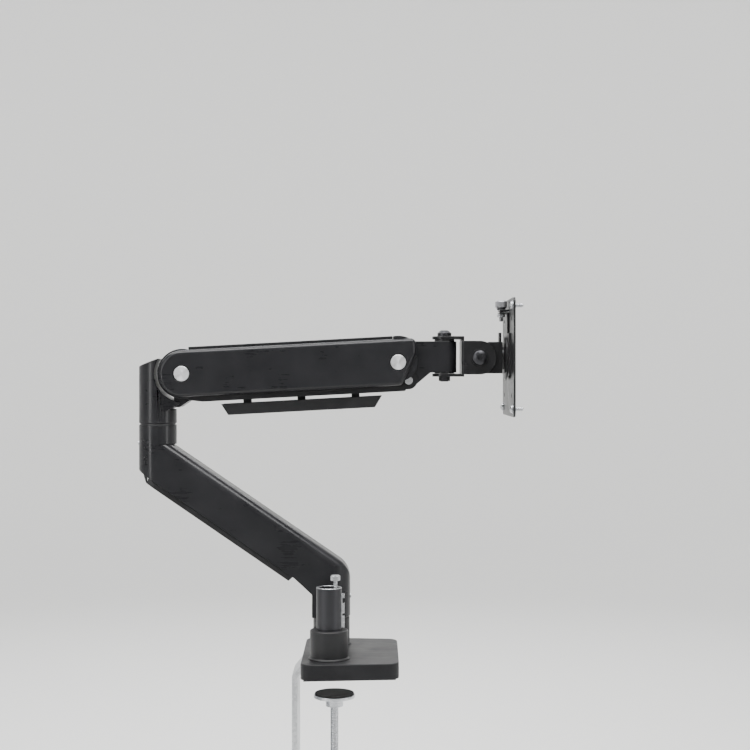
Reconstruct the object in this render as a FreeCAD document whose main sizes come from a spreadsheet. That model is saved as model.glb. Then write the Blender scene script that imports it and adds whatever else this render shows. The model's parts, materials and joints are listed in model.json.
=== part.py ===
import FreeCAD
import Part
import Sketcher
import math
import os

# Gas-spring monitor arm on a two-post desk base, in millimetres.
# Frame: origin on the desk, midway between the two posts; +X from the posts towards the screen,
# +Z up, so the arm's own plane is parallel to XZ and lies half a post spacing behind the origin.

SIZES = (
    # alias, value, what it is
    ("post_spacing", 74.0, "between the two post axes"),
    ("plate_back", 26.0, "post axis to the plate's rear edge"),
    ("plate_front", 66.0, "post axis to the plate's front edge"),
    ("plate_rear_width", 140.0, "plate width at its rear edge"),
    ("plate_front_width", 125.0, "plate width at its front edge"),
    ("plate_top", 15.7, "height of the plate's top"),
    ("plate_corner", 11.0, "plate corner radius"),
    ("plate_edge", 1.2, "rounding of the plate's top edge"),
    ("foot_pad", 1.0, "thickness of the rubber sheet under the plate"),
    ("foot_inset", 3.0, "rubber sheet inside the plate's outline"),
    ("post_radius", 12.0, "outside of both posts"),
    ("post_wall", 2.5, "post wall"),
    ("post_top", 83.0, "height of the post tops"),
    ("post_seat", 8.0, "height of the post's lower end in the plate"),
    ("post_plug", 10.0, "solid length at the post's lower end"),
    ("collar_radius", 18.15, "outside of the post collars"),
    ("collar_top", 43.0, "height of the collars"),
    ("collar_foot", 19.6, "radius of the collar's foot ring"),
    ("running", 0.05, "radial clearance of a running fit"),
    ("seated", 0.02, "radial clearance of a fixed fit"),
    ("gap", 0.3, "clearance between faces that move past each other"),
    ("base_screw", 4.0, "radius of the screws that hold the posts"),
    ("strap_screw", 3.0, "radius of the screws that hold the clamp bracket"),
    ("strap_thick", 5.3, "clamp bracket thickness"),
    ("strap_width", 50.0, "clamp bracket width"),
    ("strap_tongue", 29.5, "post axis to the end of the bracket's tongue"),
    ("strap_leg", 36.0, "post axis to the outside of the bracket's leg"),
    ("strap_bottom", 96.0, "depth of the bracket's lower jaw below the desk"),
    ("jaw_reach", 24.0, "post axis to the end of the lower jaw"),
    ("clamp_axis", 4.0, "post axis to the clamp screw"),
    ("clamp_screw_radius", 4.0, "clamp screw"),
    ("desk_thick", 25.0, "desk that the clamp is drawn on"),
    ("clamp_disc", 20.0, "radius of the clamp's pressure disc"),
    ("clamp_knob_radius", 17.0, "radius of the clamp's hand knob"),
    ("clamp_knob_drop", 118.5, "depth of the knob's top below the desk"),
    ("lock_bolt_offset", 6.0, "post axis to the bolt in the spare post"),
    ("lock_bolt_radius", 2.0, "bolt in the spare post"),
    ("tube_radius", 18.75, "half the width of the lower arm"),
    ("sleeve_foot", 44.1, "height of the lower end of the sleeve"),
    ("bush_wall", 2.45, "wall of the swivel bush"),
    ("elbow_reach", 173.5, "post axis to elbow axis"),
    ("elbow_top", 234.5, "height of the lower arm's top at the elbow"),
    ("beam_top_drop", 9.3, "elbow top down to the beam's top at the elbow axis"),
    ("beam_nose", 93.8, "height of the beam's top line at the sleeve's front"),
    ("beam_heel", 44.5, "elbow top down to the beam's rear corner"),
    ("knee_back", 36.0, "post axis to the bend in the beam's underside"),
    ("knee_height", 83.0, "height of that bend"),
    ("nose_round", 25.0, "rounding over the sleeve's front"),
    ("beam_round", 10.0, "rounding of the beam's top edges"),
    ("beam_wall", 4.0, "side wall of the beam"),
    ("channel_depth", 30.0, "depth of the cable channel in the beam"),
    ("cover_drop", 5.5, "cable cover below the beam"),
    ("elbow_shaft_radius", 10.0, "elbow shaft"),
    ("elbow_washer", 1.2, "thrust washer at the elbow"),
    ("knuckle_rise", 56.5, "knuckle's foot to its rear corner"),
    ("knuckle_crown", 64.3, "knuckle's foot to its highest point"),
    ("knuckle_flat", 16.5, "half the width of the knuckle's flat part"),
    ("knuckle_arc", 28.0, "radius of the hollow round the rear pivot"),
    ("pivot_ahead", 26.7, "elbow axis to the rear pivot"),
    ("pivot_rise", 49.3, "knuckle's foot to the rear pivot"),
    ("pivot_pin", 4.5, "radius of the two main pivot pins"),
    ("arm_span", 213.5, "between the two main pivots"),
    ("arm_tilt", 3.03, "rise of the upper arm at rest, in degrees"),
    ("link_shift", 10.4, "main pivot to link pivot, forwards"),
    ("link_drop", 18.0, "main pivot to link pivot, downwards"),
    ("link_pin", 4.0, "radius of the link pins"),
    ("link_eye", 8.7, "radius of the link's ends"),
    ("link_inside", 13.0, "arm plane to the inside of the link"),
    ("link_wall", 2.5, "link wall"),
    ("ear_half", 12.5, "arm plane to the outside of the knuckle's ears"),
    ("ear_slot", 8.0, "arm plane to the inside of the ears"),
    ("frame_inside", 17.0, "arm plane to the inside of the upper frame"),
    ("frame_wall", 2.5, "upper frame wall"),
    ("frame_top", 23.6, "pivot line to the top of the frame"),
    ("frame_bottom", 19.0, "pivot line to the bottom of the frame's walls"),
    ("frame_end", 24.6, "radius of the frame's rear end"),
    ("cap_radius", 26.2, "radius of the frame's front cap and height of the top cover"),
    ("cap_wall", 2.8, "thickness of that cap"),
    ("cover_half", 23.0, "half the height of the side covers"),
    ("cover_face", 25.0, "arm plane to the face of the side covers"),
    ("cover_thick", 5.3, "depth of the side covers"),
    ("cover_skin", 2.3, "wall of the side covers"),
    ("cover_round", 4.4, "rounding of the side covers' edges"),
    ("disc_radius", 7.5, "silver pivot discs"),
    ("disc_recess", 8.7, "recess round the pivot discs"),
    ("strut_radius", 9.0, "gas spring cylinder"),
    ("strut_rod", 4.0, "gas spring rod"),
    ("strut_drop", 11.8, "rear pivot down to the gas spring's axis"),
    ("anchor_drop", 13.9, "rear pivot down to the gas spring's anchor pin"),
    ("anchor_pin", 2.5, "radius of that pin"),
    ("tray_top", 13.5, "link pivot line down to the tray's top"),
    ("tray_bottom", 24.7, "link pivot line down to the tray's floor"),
    ("tray_half", 14.0, "half the width of the tray"),
    ("tray_wall", 2.0, "tray wall"),
    ("neck_half", 12.0, "half the width of the head link"),
    ("neck_top", 20.9, "front pivot to the head link's top"),
    ("neck_bottom", 10.1, "front pivot down to the head link's underside"),
    ("neck_back", 15.0, "front pivot forwards to the back of the head link's block"),
    ("wrist_ahead", 46.5, "front pivot to the wrist axis"),
    ("wrist_bolt", 4.0, "radius of the wrist and tilt bolts"),
    ("fork_gap_top", 2.1, "head link to the wrist bracket's upper flange"),
    ("fork_gap_foot", 1.1, "head link to the wrist bracket's lower flange"),
    ("sheet", 3.0, "steel of the wrist and tilt brackets"),
    ("web_ahead", 16.1, "wrist axis to the wrist bracket's web"),
    ("tilt_ahead", 34.1, "wrist axis to the tilt axis"),
    ("tilt_rise", 4.6, "front pivot to the tilt axis"),
    ("cheek_half", 20.0, "arm plane to the outside of the wrist bracket's cheeks"),
    ("cheek_radius", 16.6, "round end of the cheeks"),
    ("tilt_web", 22.5, "tilt axis to the face of the tilt bracket"),
    ("bearing_wall", 2.4, "thickness of the head bearing"),
    ("disc_thick", 2.5, "thickness of the rotation disc"),
    ("rotor_radius", 22.5, "radius of the rotation disc"),
    ("slide_thick", 1.8, "thickness of the quick-release plate"),
    ("slide_half", 26.0, "half the width of the quick-release plate"),
    ("lug_half", 11.0, "half the width of the quick-release lugs"),
    ("lug_rise", 43.6, "tilt axis to the lower lug"),
    ("lug_thick", 1.5, "thickness of the lugs"),
    ("lug_back", 9.5, "face plate to the end of the lugs"),
    ("screen_plate", 116.0, "side of the screen plate"),
    ("screen_plate_thick", 2.0, "thickness of the screen plate"),
    ("screen_holes", 100.0, "outer hole pattern"),
    ("screen_holes_small", 75.0, "inner hole pattern"),
    ("screen_hole", 2.3, "radius of the screen plate's holes"),
    ("screen_stud", 2.0, "radius of the screen screws"),
    ("screen_neck", 1.75, "radius of their plain necks in the plate"),
    ("screen_stud_reach", 8.0, "screen screws beyond the plate"),
    ("thumb_radius", 6.0, "thumbscrew head"),
    ("thumb_shank", 2.0, "thumbscrew shank"),
)

DOCUMENT = FreeCAD.newDocument("monitor_arm")
SHEET = DOCUMENT.addObject("Spreadsheet::Sheet", "Sizes")
EAST, NORTH = "DistanceX", "DistanceY"


class Size:
    """A dimension as a number and as the formula that ties it to the sheet."""

    def __init__(self, number, formula):
        self.number = number
        self.formula = formula

    def __add__(self, other):
        other = as_size(other)
        return Size(self.number + other.number, f"({self.formula} + {other.formula})")

    def __sub__(self, other):
        other = as_size(other)
        return Size(self.number - other.number, f"({self.formula} - {other.formula})")

    def __mul__(self, other):
        other = as_size(other)
        return Size(self.number * other.number, f"({self.formula} * {other.formula})")

    def __truediv__(self, other):
        other = as_size(other)
        return Size(self.number / other.number, f"({self.formula} / {other.formula})")

    def __radd__(self, other):
        return as_size(other) + self

    def __rsub__(self, other):
        return as_size(other) - self

    def __rmul__(self, other):
        return as_size(other) * self

    def __neg__(self):
        return Size(-self.number, f"(0 - {self.formula})")


def as_size(value):
    """Plain numbers join in with the sheet's sizes."""
    return value if isinstance(value, Size) else Size(float(value), f"{float(value):.6f}")


def cosine(degrees):
    degrees = as_size(degrees)
    return Size(math.cos(math.radians(degrees.number)), f"cos({degrees.formula})")


def sine(degrees):
    degrees = as_size(degrees)
    return Size(math.sin(math.radians(degrees.number)), f"sin({degrees.formula})")


def root(value):
    return Size(math.sqrt(value.number), f"sqrt({value.formula})")


def arctangent(value):
    return Size(math.degrees(math.atan(value.number)), f"(atan({value.formula}) / 1deg)")


def write_sheet():
    """Fill the sheet and return its sizes by alias."""
    sizes = {}
    for row, (alias, value, note) in enumerate(SIZES, start=1):
        SHEET.set(f"A{row}", note)
        SHEET.set(f"B{row}", str(value))
        SHEET.setAlias(f"B{row}", alias)
        sizes[alias] = Size(value, f"Sizes.{alias}")
    DOCUMENT.recompute()
    return sizes


S = write_sheet()
ARM_Y = S["post_spacing"] / 2
PIVOT_X = S["pivot_ahead"] - S["elbow_reach"]
KNUCKLE_FOOT = S["elbow_top"] + S["elbow_washer"] + S["gap"]
PIVOT_Z = KNUCKLE_FOOT + S["pivot_rise"]
FRONT_X = PIVOT_X + S["arm_span"] * cosine(S["arm_tilt"])
FRONT_Z = PIVOT_Z + S["arm_span"] * sine(S["arm_tilt"])
WRIST_X = FRONT_X + S["wrist_ahead"]
NECK_TOP = FRONT_Z + S["neck_top"]
NECK_FOOT = FRONT_Z - S["neck_bottom"]
FORK_TOP = NECK_TOP + S["fork_gap_top"]
FORK_FOOT = NECK_FOOT - S["fork_gap_foot"]
TILT_X = WRIST_X + S["tilt_ahead"]
TILT_Z = FRONT_Z + S["tilt_rise"]
FACE_X = TILT_X + S["tilt_web"]
DISC_X = FACE_X + S["bearing_wall"] + 0.1
SLIDE_X = DISC_X + S["disc_thick"]
SCREEN_X = SLIDE_X + S["slide_thick"] + 0.2
LUG_Z = TILT_Z + S["lug_rise"]
THUMB_X = SCREEN_X - S["lug_back"] + 2.5
THUMB_Z = LUG_Z + S["lug_thick"] * 2 + 1.2
TURNED = {"up": (0, 0, 0), "forward": (0, 90, 0), "back": (0, -90, 0), "near": (90, 0, 0),
          "far": (-90, 0, 0), "down": (180, 0, 0)}


# ---- helpers: sketches, features and primitives tied to the sheet ----

def bind(thing, prop, value):
    """Tie a property to the sheet."""
    thing.setExpression(prop, as_size(value).formula)


def place(thing, x=0, y=0, z=0, facing="up", turn=None):
    """Put a sub-part in the frame: where its origin goes and which way its own +Z looks."""
    about_x, about_y, _ = TURNED[facing]
    spin = FreeCAD.Rotation(FreeCAD.Vector(1, 0, 0), about_x)
    spin = spin.multiply(FreeCAD.Rotation(FreeCAD.Vector(0, 1, 0), about_y))
    if turn is not None:
        spin = FreeCAD.Rotation(FreeCAD.Vector(0, -1, 0), as_size(turn).number)
    thing.Placement = FreeCAD.Placement(FreeCAD.Vector(0, 0, 0), spin)
    for letter, value in (("x", x), ("y", y), ("z", z)):
        bind(thing, f"Placement.Base.{letter}", value)
    if turn is not None:
        bind(thing, "Placement.Rotation.Angle", turn)
    return thing


def new_body(label):
    body = DOCUMENT.addObject("PartDesign::Body", label)
    body.Label = label
    return body


def new_sketch(body, plane, offset=None):
    """A sketch on one of the body's own origin planes, moved along the plane's normal."""
    sketch = body.newObject("Sketcher::SketchObject", "Sketch")
    origin_plane = [item for item in body.Origin.OriginFeatures if item.Role == plane][0]
    sketch.AttachmentSupport = [(origin_plane, "")]
    sketch.MapMode = "FlatFace"
    if offset is not None:
        bind(sketch, "AttachmentOffset.Base.z", offset)
    return sketch


def pin_point(sketch, kind, item, point, value):
    """Hold one coordinate of a sketch point to a size."""
    value = as_size(value)
    index = sketch.addConstraint(Sketcher.Constraint(kind, -1, 1, item, point, value.number))
    name = f"place_{index}"
    sketch.renameConstraint(index, name)
    sketch.setExpression(f"Constraints.{name}", value.formula)


def draw_outline(sketch, corners):
    """A closed outline. A corner is (x, y), or (x, y, cx, cy, turn) when an arc leads to it."""
    start = len(sketch.Geometry)
    ends = [(as_size(corner[0]), as_size(corner[1])) for corner in corners]
    count = len(corners)
    entry, leave = {}, {}
    for number in range(count):
        here, there = ends[number - 1], ends[number]
        a = FreeCAD.Vector(here[0].number, here[1].number, 0)
        b = FreeCAD.Vector(there[0].number, there[1].number, 0)
        if len(corners[number]) == 2:
            item = sketch.addGeometry(Part.LineSegment(a, b), False)
            entry[item], leave[item] = 1, 2
        else:
            item = draw_arc(sketch, a, b, corners[number])
            entry[item], leave[item] = (1, 2) if corners[number][4] == "left" else (2, 1)
    for number in range(count):
        item, after = start + number, start + (number + 1) % count
        sketch.addConstraint(Sketcher.Constraint("Coincident", item, leave[item], after, entry[after]))
    for number in range(count):
        item, corner = start + number, corners[number]
        if len(corner) == 2:
            pin_point(sketch, EAST, item, leave[item], ends[number][0])
            pin_point(sketch, NORTH, item, leave[item], ends[number][1])
            continue
        pin_point(sketch, EAST, item, 3, corner[2])
        pin_point(sketch, NORTH, item, 3, corner[3])
        across = abs(ends[number][0].number - as_size(corner[2]).number)
        upward = abs(ends[number][1].number - as_size(corner[3]).number)
        if upward > across:
            pin_point(sketch, EAST, item, leave[item], ends[number][0])
        else:
            pin_point(sketch, NORTH, item, leave[item], ends[number][1])


def draw_arc(sketch, a, b, corner):
    """An arc from a to b round its centre; a left turn runs counter-clockwise."""
    centre = FreeCAD.Vector(as_size(corner[2]).number, as_size(corner[3]).number, 0)
    radius = (a - centre).Length
    first = math.atan2(a.y - centre.y, a.x - centre.x)
    last = math.atan2(b.y - centre.y, b.x - centre.x)
    if corner[4] == "right":
        first, last = last, first
    circle = Part.Circle(centre, FreeCAD.Vector(0, 0, 1), radius)
    return sketch.addGeometry(Part.ArcOfCircle(circle, first, last), False)


def draw_circle(sketch, x, y, radius):
    x, y, radius = as_size(x), as_size(y), as_size(radius)
    centre = FreeCAD.Vector(x.number, y.number, 0)
    item = sketch.addGeometry(Part.Circle(centre, FreeCAD.Vector(0, 0, 1), radius.number), False)
    pin_point(sketch, EAST, item, 3, x)
    pin_point(sketch, NORTH, item, 3, y)
    index = sketch.addConstraint(Sketcher.Constraint("Radius", item, radius.number))
    sketch.renameConstraint(index, f"radius_{index}")
    sketch.setExpression(f"Constraints.radius_{index}", radius.formula)


def rectangle(left, bottom, right, top):
    return [(left, bottom), (right, bottom), (right, top), (left, top)]


def hexagon(across_flats):
    reach = across_flats / math.sqrt(3)
    return [(reach * math.cos(math.radians(60 * k)), reach * math.sin(math.radians(60 * k)))
            for k in range(6)]


def grow(body, kind, plane, length, outlines=(), circles=(), offset=None, both=False, flip=False):
    """Pad or pocket an outline or circles; both means half the length each way."""
    sketch = new_sketch(body, plane, offset)
    for corners in outlines:
        draw_outline(sketch, corners)
    for x, y, radius in circles:
        draw_circle(sketch, x, y, radius)
    feature = body.newObject(f"PartDesign::{kind}", kind)
    feature.Profile = sketch
    bind(feature, "Length", length)
    if both:
        feature.SideType = "Symmetric"
    feature.Reversed = flip
    return feature


def pad(body, plane, length, **shape):
    return grow(body, "Pad", plane, length, **shape)


def pocket(body, plane, length, **shape):
    return grow(body, "Pocket", plane, length, **shape)


def round_edges(body, feature, radius, wanted):
    """Fillet the edges of the last feature that the wanted test picks out."""
    DOCUMENT.recompute()
    names = [f"Edge{number}" for number, edge in enumerate(feature.Shape.Edges, start=1)
             if wanted(edge)]
    fillet = body.newObject("PartDesign::Fillet", "Fillet")
    fillet.Base = (feature, names)
    bind(fillet, "Radius", radius)
    return fillet


def turned(label, profile, x=0, y=0, z=0, facing="up", turn=None):
    """A piece turned about its own axis from a (radius, height) profile."""
    body = new_body(label)
    sketch = new_sketch(body, "XZ_Plane")
    draw_outline(sketch, profile)
    spin = body.newObject("PartDesign::Revolution", "Revolution")
    spin.Profile = sketch
    spin.ReferenceAxis = (sketch, ["V_Axis"])
    spin.Angle = 360
    return place(body, x, y, z, facing, turn)


def ring(label, inner, outer, bottom, top, **where):
    return turned(label, [(inner, bottom), (outer, bottom), (outer, top), (inner, top)], **where)


def rod(label, radius, bottom, top, **where):
    return turned(label, [(0, bottom), (radius, bottom), (radius, top), (0, top)], **where)


def cylinder(radius, height, x, y, z, facing="up"):
    tool = DOCUMENT.addObject("Part::Cylinder", "Cylinder")
    bind(tool, "Radius", radius)
    bind(tool, "Height", height)
    return place(tool, x, y, z, facing)


def box(length, width, height, x, y, z):
    tool = DOCUMENT.addObject("Part::Box", "Box")
    bind(tool, "Length", length)
    bind(tool, "Width", width)
    bind(tool, "Height", height)
    return place(tool, x, y, z)


def cut(base, tool, label="Cut"):
    return boolean("Part::Cut", base, tool, label)


def join(base, tool, label="Fuse"):
    return boolean("Part::Fuse", base, tool, label)


def common(base, tool, label="Common"):
    return boolean("Part::Common", base, tool, label)


def boolean(kind, base, tool, label):
    result = DOCUMENT.addObject(kind, label)
    result.Base = base
    result.Tool = tool
    result.Label = label
    return result


def group(label, pieces):
    """Identical pieces that share one node, as separate solids."""
    result = DOCUMENT.addObject("Part::Compound", label)
    result.Links = pieces
    result.Label = label
    return result


def is_upright(edge):
    start, end = edge.Vertexes[0].Point, edge.Vertexes[-1].Point
    return abs(start.x - end.x) < 1e-3 and abs(start.y - end.y) < 1e-3


def crosses(edge):
    """True for an edge that runs along Y."""
    start, end = edge.Vertexes[0].Point, edge.Vertexes[-1].Point
    return abs(start.x - end.x) < 1e-3 and abs(start.z - end.z) < 1e-3


def plan_strip(half, x_from, x_to, height, z, y=ARM_Y):
    """A straight strip with a round end at x_from and at x_to, seen from above."""
    bar = box(x_to - x_from, 2 * half, height, x_from, y - half, z)
    first = cylinder(half, height, x_from, y, z)
    last = cylinder(half, height, x_to, y, z)
    return join(join(bar, first), last)


# ---- base: plate, posts, collars and the desk clamp ----

def base_plate():
    body = new_body("base_plate")
    rear, front = S["plate_rear_width"] / 2, S["plate_front_width"] / 2
    plan = [(-S["plate_back"], -rear), (S["plate_front"], -front),
            (S["plate_front"], front), (-S["plate_back"], rear)]
    foot = S["foot_pad"]
    slab = pad(body, "XY_Plane", S["plate_top"] - foot, outlines=[plan], offset=foot)
    corners = round_edges(body, slab, S["plate_corner"], is_upright)
    top = S["plate_top"].number
    round_edges(body, corners, S["plate_edge"],
                lambda edge: all(abs(v.Z - top) < 1e-3 for v in edge.Vertexes))
    posts = [(0, -ARM_Y, S["post_radius"] + S["seated"]), (0, ARM_Y, S["post_radius"] + S["seated"])]
    pocket(body, "XY_Plane", S["plate_top"] - S["post_seat"], circles=posts, offset=S["plate_top"])
    shanks = [(0, sign * ARM_Y, S["base_screw"] + 0.1) for sign in (-1, 1)]
    pocket(body, "XY_Plane", S["post_seat"], circles=shanks, offset=S["post_seat"])
    heads = [(0, sign * ARM_Y, S["base_screw"] + 3.4) for sign in (-1, 1)]
    pocket(body, "XY_Plane", 4, circles=heads, offset=foot, flip=True)
    half = S["strap_width"] / 2 + 0.2
    recess = rectangle(-S["plate_back"] - 5, -half, S["strap_tongue"] + 0.5, half)
    pocket(body, "XY_Plane", S["strap_thick"] - foot, outlines=[recess], offset=foot, flip=True)
    holes = [(x, y, S["strap_screw"] + S["seated"]) for x, y in strap_screw_places()]
    pocket(body, "XY_Plane", 7, circles=holes, offset=S["strap_thick"], flip=True)
    return body


def strap_screw_places():
    return [(-12, -14), (-12, 14), (18, 0)]


def base_pad():
    body = new_body("base_pad")
    inset = S["foot_inset"]
    rear, front = S["plate_rear_width"] / 2 - inset, S["plate_front_width"] / 2 - inset
    half = S["strap_width"] / 2 + 0.4
    plan = [(inset - S["plate_back"], -rear), (S["plate_front"] - inset, -front),
            (S["plate_front"] - inset, front), (inset - S["plate_back"], rear),
            (inset - S["plate_back"], half), (S["strap_tongue"] + 0.7, half),
            (S["strap_tongue"] + 0.7, -half), (inset - S["plate_back"], -half)]
    pad(body, "XY_Plane", S["foot_pad"], outlines=[plan])
    heads = [(0, sign * ARM_Y, S["base_screw"] + 4) for sign in (-1, 1)]
    pocket(body, "XY_Plane", S["foot_pad"], circles=heads, offset=S["foot_pad"])
    return body


def clamp_bracket():
    body = new_body("clamp_bracket")
    top, thick, leg = S["strap_thick"], S["strap_thick"], -S["strap_leg"]
    floor = -S["strap_bottom"]
    outline = [(S["strap_tongue"], top - thick), (S["strap_tongue"], top), (leg + 7.5, top),
               (leg, top - 9), (leg, floor), (S["jaw_reach"], floor), (S["jaw_reach"], floor + thick),
               (leg + thick, floor + thick), (leg + thick, top - 11.1), (leg + 10, top - thick)]
    strap = pad(body, "XZ_Plane", S["strap_width"], outlines=[outline], both=True)
    low, inner = (S["strap_leg"].number, S["strap_bottom"].number), S["strap_thick"].number

    def outer_bend(edge):
        point = edge.Vertexes[0].Point
        return crosses(edge) and abs(point.x + low[0]) < 1e-3 and abs(point.z + low[1]) < 1e-3

    def inner_bend(edge):
        point = edge.Vertexes[0].Point
        return (crosses(edge) and abs(point.x + low[0] - inner) < 1e-3
                and abs(point.z + low[1] - inner) < 1e-3)

    outside = round_edges(body, strap, S["strap_thick"] + 1.2, outer_bend)
    round_edges(body, outside, 1.2, inner_bend)
    holes = [(x, y, S["strap_screw"] + 0.2) for x, y in strap_screw_places()]
    pocket(body, "XY_Plane", S["strap_thick"] + 1, circles=holes, offset=top + 0.5)
    heads = [(x, y, S["strap_screw"] + 2.6) for x, y in strap_screw_places()]
    pocket(body, "XY_Plane", 3, circles=heads, offset=top - thick, flip=True)
    shank = [(S["clamp_axis"], 0, S["clamp_screw_radius"] + S["gap"])]
    pocket(body, "XY_Plane", S["strap_thick"] + 2, circles=shank, offset=floor + thick + 1)
    return body


def button_screw(name, radius, head_radius, head_height, length, **where):
    """A domed or cap screw: its head is above its own origin and its shank below."""
    crown = head_radius * 0.55
    return turned(name, [(0, -length), (radius, -length), (radius, 0), (head_radius, 0),
                         (head_radius, head_height * 0.55), (crown, head_height), (0, head_height)],
                  **where)


def base_screws():
    """Two screws up into the posts and three up through the clamp bracket."""
    screws = [button_screw("post_screw", S["base_screw"], S["base_screw"] + 3, 3.6,
                           S["post_seat"] + 3, y=sign * ARM_Y, z=4.9, facing="down")
              for sign in (-1, 1)]
    screws += [button_screw("bracket_screw", S["strap_screw"], S["strap_screw"] + 2.4, 2.4, 8.4,
                            x=x, y=y, z=2.9, facing="down") for x, y in strap_screw_places()]
    return group("base_screws", screws)


def post(name, side):
    bore, seat = S["post_radius"] - S["post_wall"], S["post_seat"]
    hole = S["base_screw"] + S["seated"]
    profile = [(hole, seat), (S["post_radius"], seat), (S["post_radius"], S["post_top"]),
               (bore, S["post_top"]), (bore, seat + S["post_plug"]), (0, seat + S["post_plug"]),
               (0, seat + 8.2), (hole, seat + 8.2)]
    return turned(name, profile, y=side * ARM_Y)


def spare_post():
    tube = post("spare_tube", -1)
    slot = box(S["post_wall"] + 3, 4.4, 33, S["post_radius"] - S["post_wall"] - 1, -ARM_Y - 2.2,
               S["collar_top"] + 1.5)
    return cut(tube, slot, "spare_post")


def lock_strip():
    """Toothed strip in the spare post's slot, with the wedge that its bolt pulls."""
    body = new_body("lock_strip")
    inside = S["post_radius"] - S["post_wall"]
    foot = S["collar_top"] + 2
    strip = [(inside - 1.6, foot), (inside + 5.1, foot), (inside + 5.1, foot + 11),
             (inside + 3, foot + 11), (inside + 3, foot + 13.5), (inside + 5.1, foot + 13.5),
             (inside + 5.1, foot + 23), (inside + 3, foot + 23), (inside + 3, foot + 28),
             (inside + 5.1, foot + 28), (inside + 5.1, foot + 32), (inside - 1.6, foot + 32)]
    pad(body, "XZ_Plane", 4, outlines=[strip], both=True)
    wedge = [(inside - 1.2, foot + 10), (inside - 1.2, foot + 28), (inside - 7.8, foot + 28),
             (inside - 7.8, foot + 16)]
    pad(body, "XZ_Plane", 8, outlines=[wedge], both=True)
    thread = [(S["lock_bolt_offset"], 0, S["lock_bolt_radius"] + S["running"])]
    pocket(body, "XY_Plane", 30, circles=thread, offset=foot + 33)
    return place(body, y=-ARM_Y)


def lock_bolt():
    head = new_body("lock_bolt")
    pad(head, "XY_Plane", 5.0, outlines=[hexagon(8.0)])
    pad(head, "XY_Plane", 27, circles=[(0, 0, S["lock_bolt_radius"])], flip=True)
    return place(head, x=S["lock_bolt_offset"], y=-ARM_Y, z=S["post_top"] + 6.4)


def collar(name, side):
    bore, outer, foot = S["post_radius"] + S["seated"], S["collar_radius"], S["plate_top"]
    profile = [(bore, foot), (S["collar_foot"], foot), (S["collar_foot"], foot + 0.9),
               (outer, foot + 1.9), (outer, S["collar_top"] - 0.8), (outer - 0.8, S["collar_top"]),
               (bore, S["collar_top"])]
    return turned(name, profile, y=side * ARM_Y)


def swivel_washer():
    return ring("swivel_washer", S["post_radius"] + 0.1, S["collar_radius"] - 0.9,
                S["collar_top"], S["sleeve_foot"] - S["gap"], y=ARM_Y)


def clamp_nut():
    body = new_body("clamp_nut")
    pad(body, "XY_Plane", 7, outlines=[hexagon(15.0)])
    thread = [(0, 0, S["clamp_screw_radius"] + S["running"])]
    pocket(body, "XY_Plane", 8, circles=thread, offset=7.5)
    return place(body, x=S["clamp_axis"], z=-S["strap_bottom"] - 7)


def clamp_pad():
    socket = S["clamp_screw_radius"] + S["running"]
    disc = S["clamp_disc"]
    profile = [(0, -1.5), (0, -6.8), (socket, -6.8), (socket, -13), (8.5, -13), (8.5, -6.5),
               (disc, -4.5), (disc, -1.5)]
    return turned("clamp_pad", profile, x=S["clamp_axis"], z=-S["desk_thick"])


def clamp_pad_face():
    return rod("clamp_pad_face", S["clamp_disc"] - 1, -1.5, 0, x=S["clamp_axis"], z=-S["desk_thick"])


def clamp_screw():
    return rod("clamp_screw", S["clamp_screw_radius"], -S["clamp_knob_drop"] - 14,
               -S["desk_thick"] - 7, x=S["clamp_axis"])


def clamp_knob():
    """Five-lobed hand knob on the end of the clamp screw."""
    body = new_body("clamp_knob")
    pad(body, "XY_Plane", 16, circles=[(0, 0, S["clamp_knob_radius"])])
    flutes = [(1.18 * S["clamp_knob_radius"] * math.cos(math.radians(72 * k)),
               1.18 * S["clamp_knob_radius"] * math.sin(math.radians(72 * k)), 6) for k in range(5)]
    pocket(body, "XY_Plane", 18, circles=flutes, offset=17)
    pad(body, "XY_Plane", 5.5, circles=[(0, 0, 8)], offset=16)
    bore = [(0, 0, S["clamp_screw_radius"] + S["seated"])]
    pocket(body, "XY_Plane", 14, circles=bore, offset=21.5)
    return place(body, x=S["clamp_axis"], z=-S["clamp_knob_drop"] - 21.5)


# ---- lower arm ----

def under_beam(x):
    """Height of the beam's underside at a distance x along the arm."""
    rise = S["elbow_top"] - S["beam_heel"] - S["knee_height"]
    run = S["elbow_reach"] + S["tube_radius"] - S["knee_back"]
    return S["knee_height"] - (x + S["knee_back"]) * (rise / run)


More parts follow.
